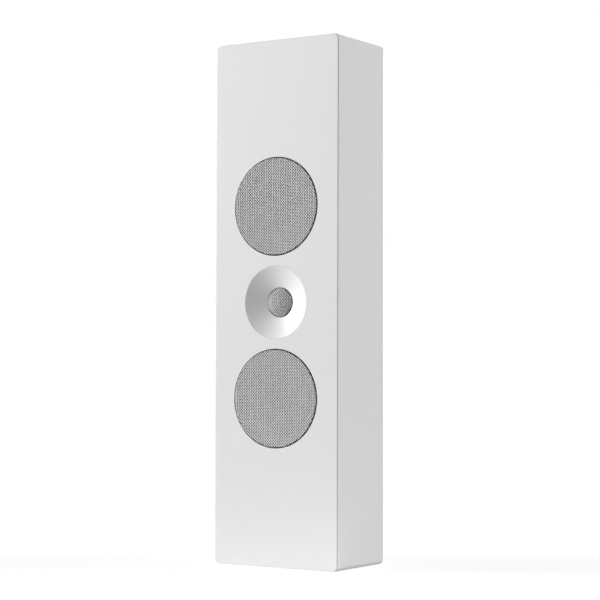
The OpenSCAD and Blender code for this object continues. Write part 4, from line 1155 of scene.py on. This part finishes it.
@dataclass
class WovenSheet:
    """Plain weave of flattened wires, cut round and pressed over a former.

    Args:
        centre: middle of the sheet's top in space.
        former: the form it is pressed over.
        sheet_r: radius that the flat sheet is cut to.
        pitch: distance between wires.
        half_w: half width of a wire across the sheet.
        half_t: half thickness of a wire.
        turn: angle of the weave, in degrees.
        per_pitch: samples along a wire for each pitch.
        sides: points round a wire.
    """

    centre: Point
    former: Former
    sheet_r: float
    pitch: float = 2.3
    half_w: float = 0.46
    half_t: float = 0.3
    turn: float = 45.0
    per_pitch: int = 3
    sides: int = 6

    def wires(self, lift: float, turn: float) -> tuple[Array, Array]:
        """All wires of one direction, with height lift * (-1)^i sin(pi s / pitch) along wire i.

        A sample past the sheet's edge is drawn back to the edge and its section shrinks to a
        point, which closes the wire's end.

        Args:
            lift: height of the waves, negative for the second direction.
            turn: direction of the wires, in degrees.

        Returns:
            Points shaped (n, 3) and quads that count from 0.
        """
        count = int(self.sheet_r / self.pitch)
        number = np.arange(-count, count)
        offset = (number + 0.5) * self.pitch
        half = np.sqrt(np.maximum(self.sheet_r**2 - offset**2, 0.0))[:, None]
        step = self.pitch / self.per_pitch
        samples = int(self.sheet_r / step) + 2
        along = (np.arange(-samples, samples) + 0.5) * step
        outside = np.abs(along)[None, :] > half
        s = np.clip(along[None, :], -half, half)
        sign = np.where(number % 2 == 0, 1.0, -1.0)[:, None]
        height = lift * sign * np.sin(np.pi * s / self.pitch)
        angle = np.linspace(0.0, 2.0 * np.pi, self.sides, endpoint=False)
        size = np.where(outside, 0.0, 1.0)[:, :, None]
        across = offset[:, None, None] + size * self.half_w * np.cos(angle)
        up = height[:, :, None] + size * self.half_t * np.sin(angle)
        flat = np.stack([s[:, :, None] + 0.0 * across, across, up], axis=-1)
        ids = np.arange(flat[..., 0].size).reshape(flat.shape[:3])
        near = np.roll(ids, -1, axis=2)
        quads = np.stack([ids[:, :-1], near[:, :-1], near[:, 1:], ids[:, 1:]], axis=-1)
        kept = ~(outside[:, :-1] & outside[:, 1:])
        used, compact = np.unique(quads[kept].reshape(-1, 4), return_inverse=True)
        points = self.place(flat.reshape(-1, 3)[used], math.radians(turn))
        return points, compact.reshape(-1, 4)

    def place(self, flat: Array, turn: float) -> Array:
        """Turns flat points (along, across, up) by an angle and presses them on the former.

        Args:
            flat: points shaped (n, 3).
            turn: angle in radians.

        Returns:
            Points in space, shaped (n, 3).
        """
        u = flat[:, 0] * math.cos(turn) - flat[:, 1] * math.sin(turn)
        v = flat[:, 0] * math.sin(turn) + flat[:, 1] * math.cos(turn)
        run = np.hypot(u, v)
        radius, depth, tilt = self.former.press(run)
        radius = radius + flat[:, 2] * np.sin(tilt)
        depth = depth - flat[:, 2] * np.cos(tilt)
        share = radius / np.maximum(run, 1e-9)
        x, y, z = self.centre
        return np.stack([x + u * share, y + depth, z + v * share], axis=1)

    def weave(self, shell: Shell) -> None:
        """Adds the wires of both directions to a shell.

        Args:
            shell: takes the wires.
        """
        for lift, turn in ((self.half_t, self.turn), (-self.half_t, self.turn + 90.0)):
            points, quads = self.wires(lift, turn)
            shell.add(points, quads + shell.count)


@dataclass
class RoundGrille:
    """A woven grille: the light sheet, and the black ring that its edge is pressed into. The ring's
    black is painted shade: it makes the gap round the sheet's edge read dark.

    Args:
        name: first word of its two pieces' names.
        node: the CAD node.
        sheet: the woven sheet.
        axis: middle of the ring, on the baffle's front.
        ring_r: outer radius of the ring.
        ring_t: thickness of the ring.
        ring_top: depth of its front edge behind the baffle's front.
        ring_bottom: depth of its back.
        edge_steps: chords round each half of its front edge.
        turns: steps round the axis.
    """

    name: str
    node: str
    sheet: WovenSheet
    axis: Point
    ring_r: float
    ring_t: float
    ring_top: float
    ring_bottom: float
    edge_steps: int = 4
    turns: int = 160

    def ring(self) -> Array:
        """Section of the ring, with its front edge rounded.

        Returns:
            Points (radius, y) of a closed line, with y from the baffle's front.
        """
        half = self.ring_t / 2.0
        middle = (self.ring_r - half, self.ring_top + half)
        inner = quarter(middle, half, 180.0, self.edge_steps)
        outer = quarter(middle, half, 270.0, self.edge_steps)[1:]
        bottom = [(self.ring_r, self.ring_bottom), (self.ring_r - self.ring_t, self.ring_bottom)]
        return np.concatenate([inner, outer, np.array(bottom)])

    def build(self, shop: PaintShop) -> None:
        """Makes sheet and ring, the ring black as painted shade in the gap round the sheet, and
        sets both in place of the CAD node.

        Args:
            shop: paints and delivers them.
        """
        woven, plain = Shell(), Shell()
        self.sheet.weave(woven)
        plain.grid(revolve(self.ring(), self.axis, self.turns), close_u=True, close_v=True)
        shop.deliver(woven.piece(self.name + "_mesh", sharp=80.0), GREY_MESH, self.node)
        # The ring is black as painted shade: it darkens the gap round the sheet's edge, where the
        # grille's rim lies in shade.
        shop.deliver(plain.piece(self.name + "_ring"), BLACK_PLASTIC, self.node)


def woofer_grille(name: str, node: str, z: float) -> RoundGrille:
    """Flat grille of a woofer: the sheet bends over its edge and ends in the ring behind.

    The middle of the weave stands 0.6 mm in front of the baffle, so the wires' crests reach 1.2 mm.

    Args:
        name: the piece's name.
        node: the CAD node.
        z: height of the woofer's middle.

    Returns:
        The grille, ready to build.
    """
    sheet = WovenSheet(
        centre=(0.0, FRONT_Y - 0.6, z),
        former=Former(flat_r=54.7, bend_r=0.5),
        sheet_r=55.3,
    )
    return RoundGrille(
        name=name,
        node=node,
        sheet=sheet,
        axis=(0.0, FRONT_Y, z),
        ring_r=55.75,
        ring_t=1.2,
        ring_top=-0.3,
        ring_bottom=12.0,
    )


def tweeter_grille() -> RoundGrille:
    """Domed grille of the tweeter, at the bottom of the cone.

    The dome is a cap of height h over a rim of radius r, so its ball has the radius
    (r^2 + h^2) / 2h. The wires' middle lies 0.3 mm inside that ball, and it ends at dome_edge_r.

    Returns:
        The grille, ready to build.
    """
    dome_h, rim_r, dome_edge_r, dome_top = 4.2, 16.7, 15.8, 5.4
    ball_r = (rim_r**2 + dome_h**2) / (2.0 * dome_h) - 0.3
    sheet = WovenSheet(
        centre=(0.0, FRONT_Y + dome_top, TWEETER_Z),
        former=Former(flat_r=ball_r * math.asin(dome_edge_r / ball_r), bend_r=0.5, ball_r=ball_r),
        sheet_r=17.0,
        pitch=2.2,
        half_w=0.37,
        half_t=0.24,
        per_pitch=4,
    )
    return RoundGrille(
        name="tweeter",
        node="tweeter_grille",
        sheet=sheet,
        axis=(0.0, FRONT_Y, TWEETER_Z),
        ring_r=16.6,
        ring_t=0.8,
        ring_top=9.5,
        ring_bottom=13.0,
    )


# ---- Studio


@dataclass(frozen=True)
class Sun:
    """One soft far light.

    Args:
        name: its name.
        azimuth: direction that it comes from, in degrees, as in direction().
        elevation: its height, in degrees.
        strength: light on a surface that faces it.
        spread: how wide its disc is, in degrees.
        shines: True if gloss shows it.
    """

    name: str
    azimuth: float
    elevation: float
    strength: float
    spread: float
    shines: bool = True

    def place(self) -> None:
        """Adds the light to the scene, turned towards the box."""
        lamp = bpy.data.lights.new(self.name, "SUN")
        lamp.energy = self.strength
        lamp.angle = math.radians(self.spread)
        made = bpy.data.objects.new(self.name, lamp)
        towards = direction(self.azimuth, self.elevation)
        made.rotation_mode = "QUATERNION"
        made.rotation_quaternion = towards.to_track_quat("Z", "Y")
        made.location = towards * SUN_AWAY
        made.visible_glossy = self.shines
        bpy.context.scene.collection.objects.link(made)


@dataclass(frozen=True)
class Card:
    """A white card on the floor that throws light up at the box's foot.

    Args:
        name: its name.
        low: its corner with the lowest x and y, in millimetres.
        high: its opposite corner.
        glow: brightness of its face, where 1 is white.
    """

    name: str
    low: tuple[float, float]
    high: tuple[float, float]
    glow: float

    def place(self) -> None:
        """Adds the card to the scene as a flat light that neither camera nor gloss sees."""
        low, high = (Vector(corner) * MM for corner in (self.low, self.high))
        size, middle = high - low, (high + low) / 2.0
        lamp = bpy.data.lights.new(self.name, "AREA")
        lamp.shape, lamp.size, lamp.size_y = "RECTANGLE", size.x, size.y
        lamp.energy = self.glow * math.pi * size.x * size.y
        made = bpy.data.objects.new(self.name, lamp)
        made.location = (middle.x, middle.y, CARD_Z * MM)
        made.rotation_euler = (math.pi, 0.0, 0.0)
        made.visible_camera = made.visible_glossy = False
        bpy.context.scene.collection.objects.link(made)


@dataclass
class Studio:
    """Plain pale floor, soft light, white surroundings and the camera.

    Args:
        azimuth: direction of the camera, in degrees, as in direction().
        elevation: its height, in degrees.
        roll: its turn about its own axis, in degrees.
        focal_px: its focal length, in pixels of the picture.
        place_mm: where it stands.
        clip: nearest and furthest distance that it sees, in metres.
        floor_half: half the floor's side, in metres.
        floor_tone: the floor's darkest and lightest colour.
        floor_glow: what lifts the floor to white, for camera and gloss alone.
        ambient: light from all round.
        cards: the cards on the floor.
        suns: the far lights.
    """

    azimuth: float = 32.941
    elevation: float = -2.095
    roll: float = 0.168
    focal_px: float = 1823.901
    place_mm: Point = (1149.481, -1774.594, 226.855)
    clip: tuple[float, float] = (0.05, 400.0)
    floor_half: float = 60.0
    floor_tone: tuple[float, float] = (0.30, 0.32)
    floor_glow: float = 0.845
    ambient: float = 0.045
    cards: tuple[Card, ...] = (
        Card("front_card", low=(-200.0, -175.0), high=(200.0, -51.2), glow=0.42),
        Card("right_card", low=(85.0, -300.0), high=(485.0, 300.0), glow=0.15),
    )
    suns: tuple[Sun, ...] = (
        Sun("key_left", azimuth=-56.5, elevation=12.0, strength=3.82, spread=24.0),
        Sun("fill_right", 124.0, elevation=16.0, strength=2.2, spread=30.0, shines=False),
        Sun("fill_back", azimuth=180.0, elevation=8.0, strength=1.1, spread=20.0),
    )

    def camera(self) -> None:
        """Sets the camera from its fitted place and direction; its X is the picture's right."""
        back = direction(self.azimuth, self.elevation)
        roll = math.radians(self.roll)
        level = (-back).cross(Vector((0.0, 0.0, 1.0))).normalized()
        upright = level.cross(-back)
        right = math.cos(roll) * level + math.sin(roll) * upright
        up = -math.sin(roll) * level + math.cos(roll) * upright
        lens = bpy.data.cameras.new("camera")
        lens.sensor_width = SENSOR
        lens.lens = self.focal_px * SENSOR / PICTURE_PX
        lens.clip_start, lens.clip_end = self.clip
        made = bpy.data.objects.new("camera", lens)
        turned = Matrix((right, up, back)).transposed().to_4x4()
        made.matrix_world = Matrix.Translation(Vector(self.place_mm) * MM) @ turned
        bpy.context.scene.collection.objects.link(made)
        bpy.context.scene.camera = made

    @staticmethod
    def seen(work: Tree) -> Socket:
        """1 for rays that show the surroundings: from the camera, in gloss or through glass.

        Args:
            work: the tree to place the nodes in.

        Returns:
            A socket with 0 or 1.
        """
        path = work.node("ShaderNodeLightPath")
        gloss = work.math("MAXIMUM", path.outputs["Is Glossy Ray"], path.outputs["Is Camera Ray"])
        return work.math("MAXIMUM", gloss, path.outputs["Is Transmission Ray"])

    def world(self) -> None:
        """White to the eye and in reflections, and a low even light to everything else."""
        world = bpy.data.worlds.new("studio")
        world.use_nodes = True
        work = Tree(world.node_tree)
        low = work.node("ShaderNodeBackground", {"Strength": self.ambient}).outputs[0]
        white = work.node("ShaderNodeBackground", {"Strength": 1.0}).outputs[0]
        for background in work.tree.nodes:
            background.inputs["Color"].default_value = (1.0, 1.0, 1.0, 1.0)
        shared = {0: self.seen(work), 1: low, 2: white}
        mixed = work.node("ShaderNodeMixShader", shared).outputs[0]
        work.node("ShaderNodeOutputWorld", {"Surface": mixed})
        bpy.context.scene.world = world

    def floor(self) -> None:
        """Pale matt floor that keeps the shadow, lifted to white where nothing shades it."""
        half = self.floor_half / MM
        corner = np.array([-half, half])
        x, y = np.meshgrid(corner, corner)
        mesh = bpy.data.meshes.new("floor")
        points = np.stack([x, y, np.full_like(x, FLOOR_Z)], axis=-1).reshape(-1, 3) * MM
        mesh.from_pydata(points.tolist(), [], [(0, 1, 3, 2)])
        made = bpy.data.objects.new("floor", mesh)
        bpy.context.scene.collection.objects.link(made)
        finish = bpy.data.materials.new("pale_floor")
        finish.use_nodes = True
        work = Tree(finish.node_tree)
        place = work.node("ShaderNodeTexCoord").outputs["Object"]
        cloud = work.noise(place, scale=3.0, detail=4.0)
        darkest, lightest = self.floor_tone
        shade = {"Value": cloud, "To Min": darkest, "To Max": lightest}
        level = work.node("ShaderNodeMapRange", shade).outputs[0]
        tone = work.node("ShaderNodeCombineColor", {0: level, 1: level, 2: level}).outputs[0]
        matt = work.node("ShaderNodeBsdfDiffuse", {"Color": tone}).outputs[0]
        strength = work.math("MULTIPLY", self.seen(work), self.floor_glow)
        glow = work.node("ShaderNodeEmission", {"Strength": strength}).outputs[0]
        surface = work.node("ShaderNodeAddShader", {0: matt, 1: glow}).outputs[0]
        work.node("ShaderNodeOutputMaterial", {"Surface": surface})
        mesh.materials.append(finish)

    def build(self) -> None:
        """Sets camera, world, floor, lights and the view transform."""
        self.camera()
        self.world()
        self.floor()
        for card in self.cards:
            card.place()
        for sun in self.suns:
            sun.place()
        bpy.context.scene.view_settings.view_transform = "Standard"


def main() -> None:
    """Builds the studio, the new pieces and the finishes, and reports each piece."""
    logging.basicConfig(level=logging.INFO, format="%(message)s")
    Studio().build()
    shop = PaintShop()
    shop.dress_nodes()
    Cabinet().build(shop)
    Waveguide().build(shop)
    woofer_grille("upper_woofer", "upper_woofer_grille", UPPER_Z).build(shop)
    woofer_grille("lower_woofer", "lower_woofer_grille", LOWER_Z).build(shop)
    tweeter_grille().build(shop)


if __name__ == "__main__":
    main()
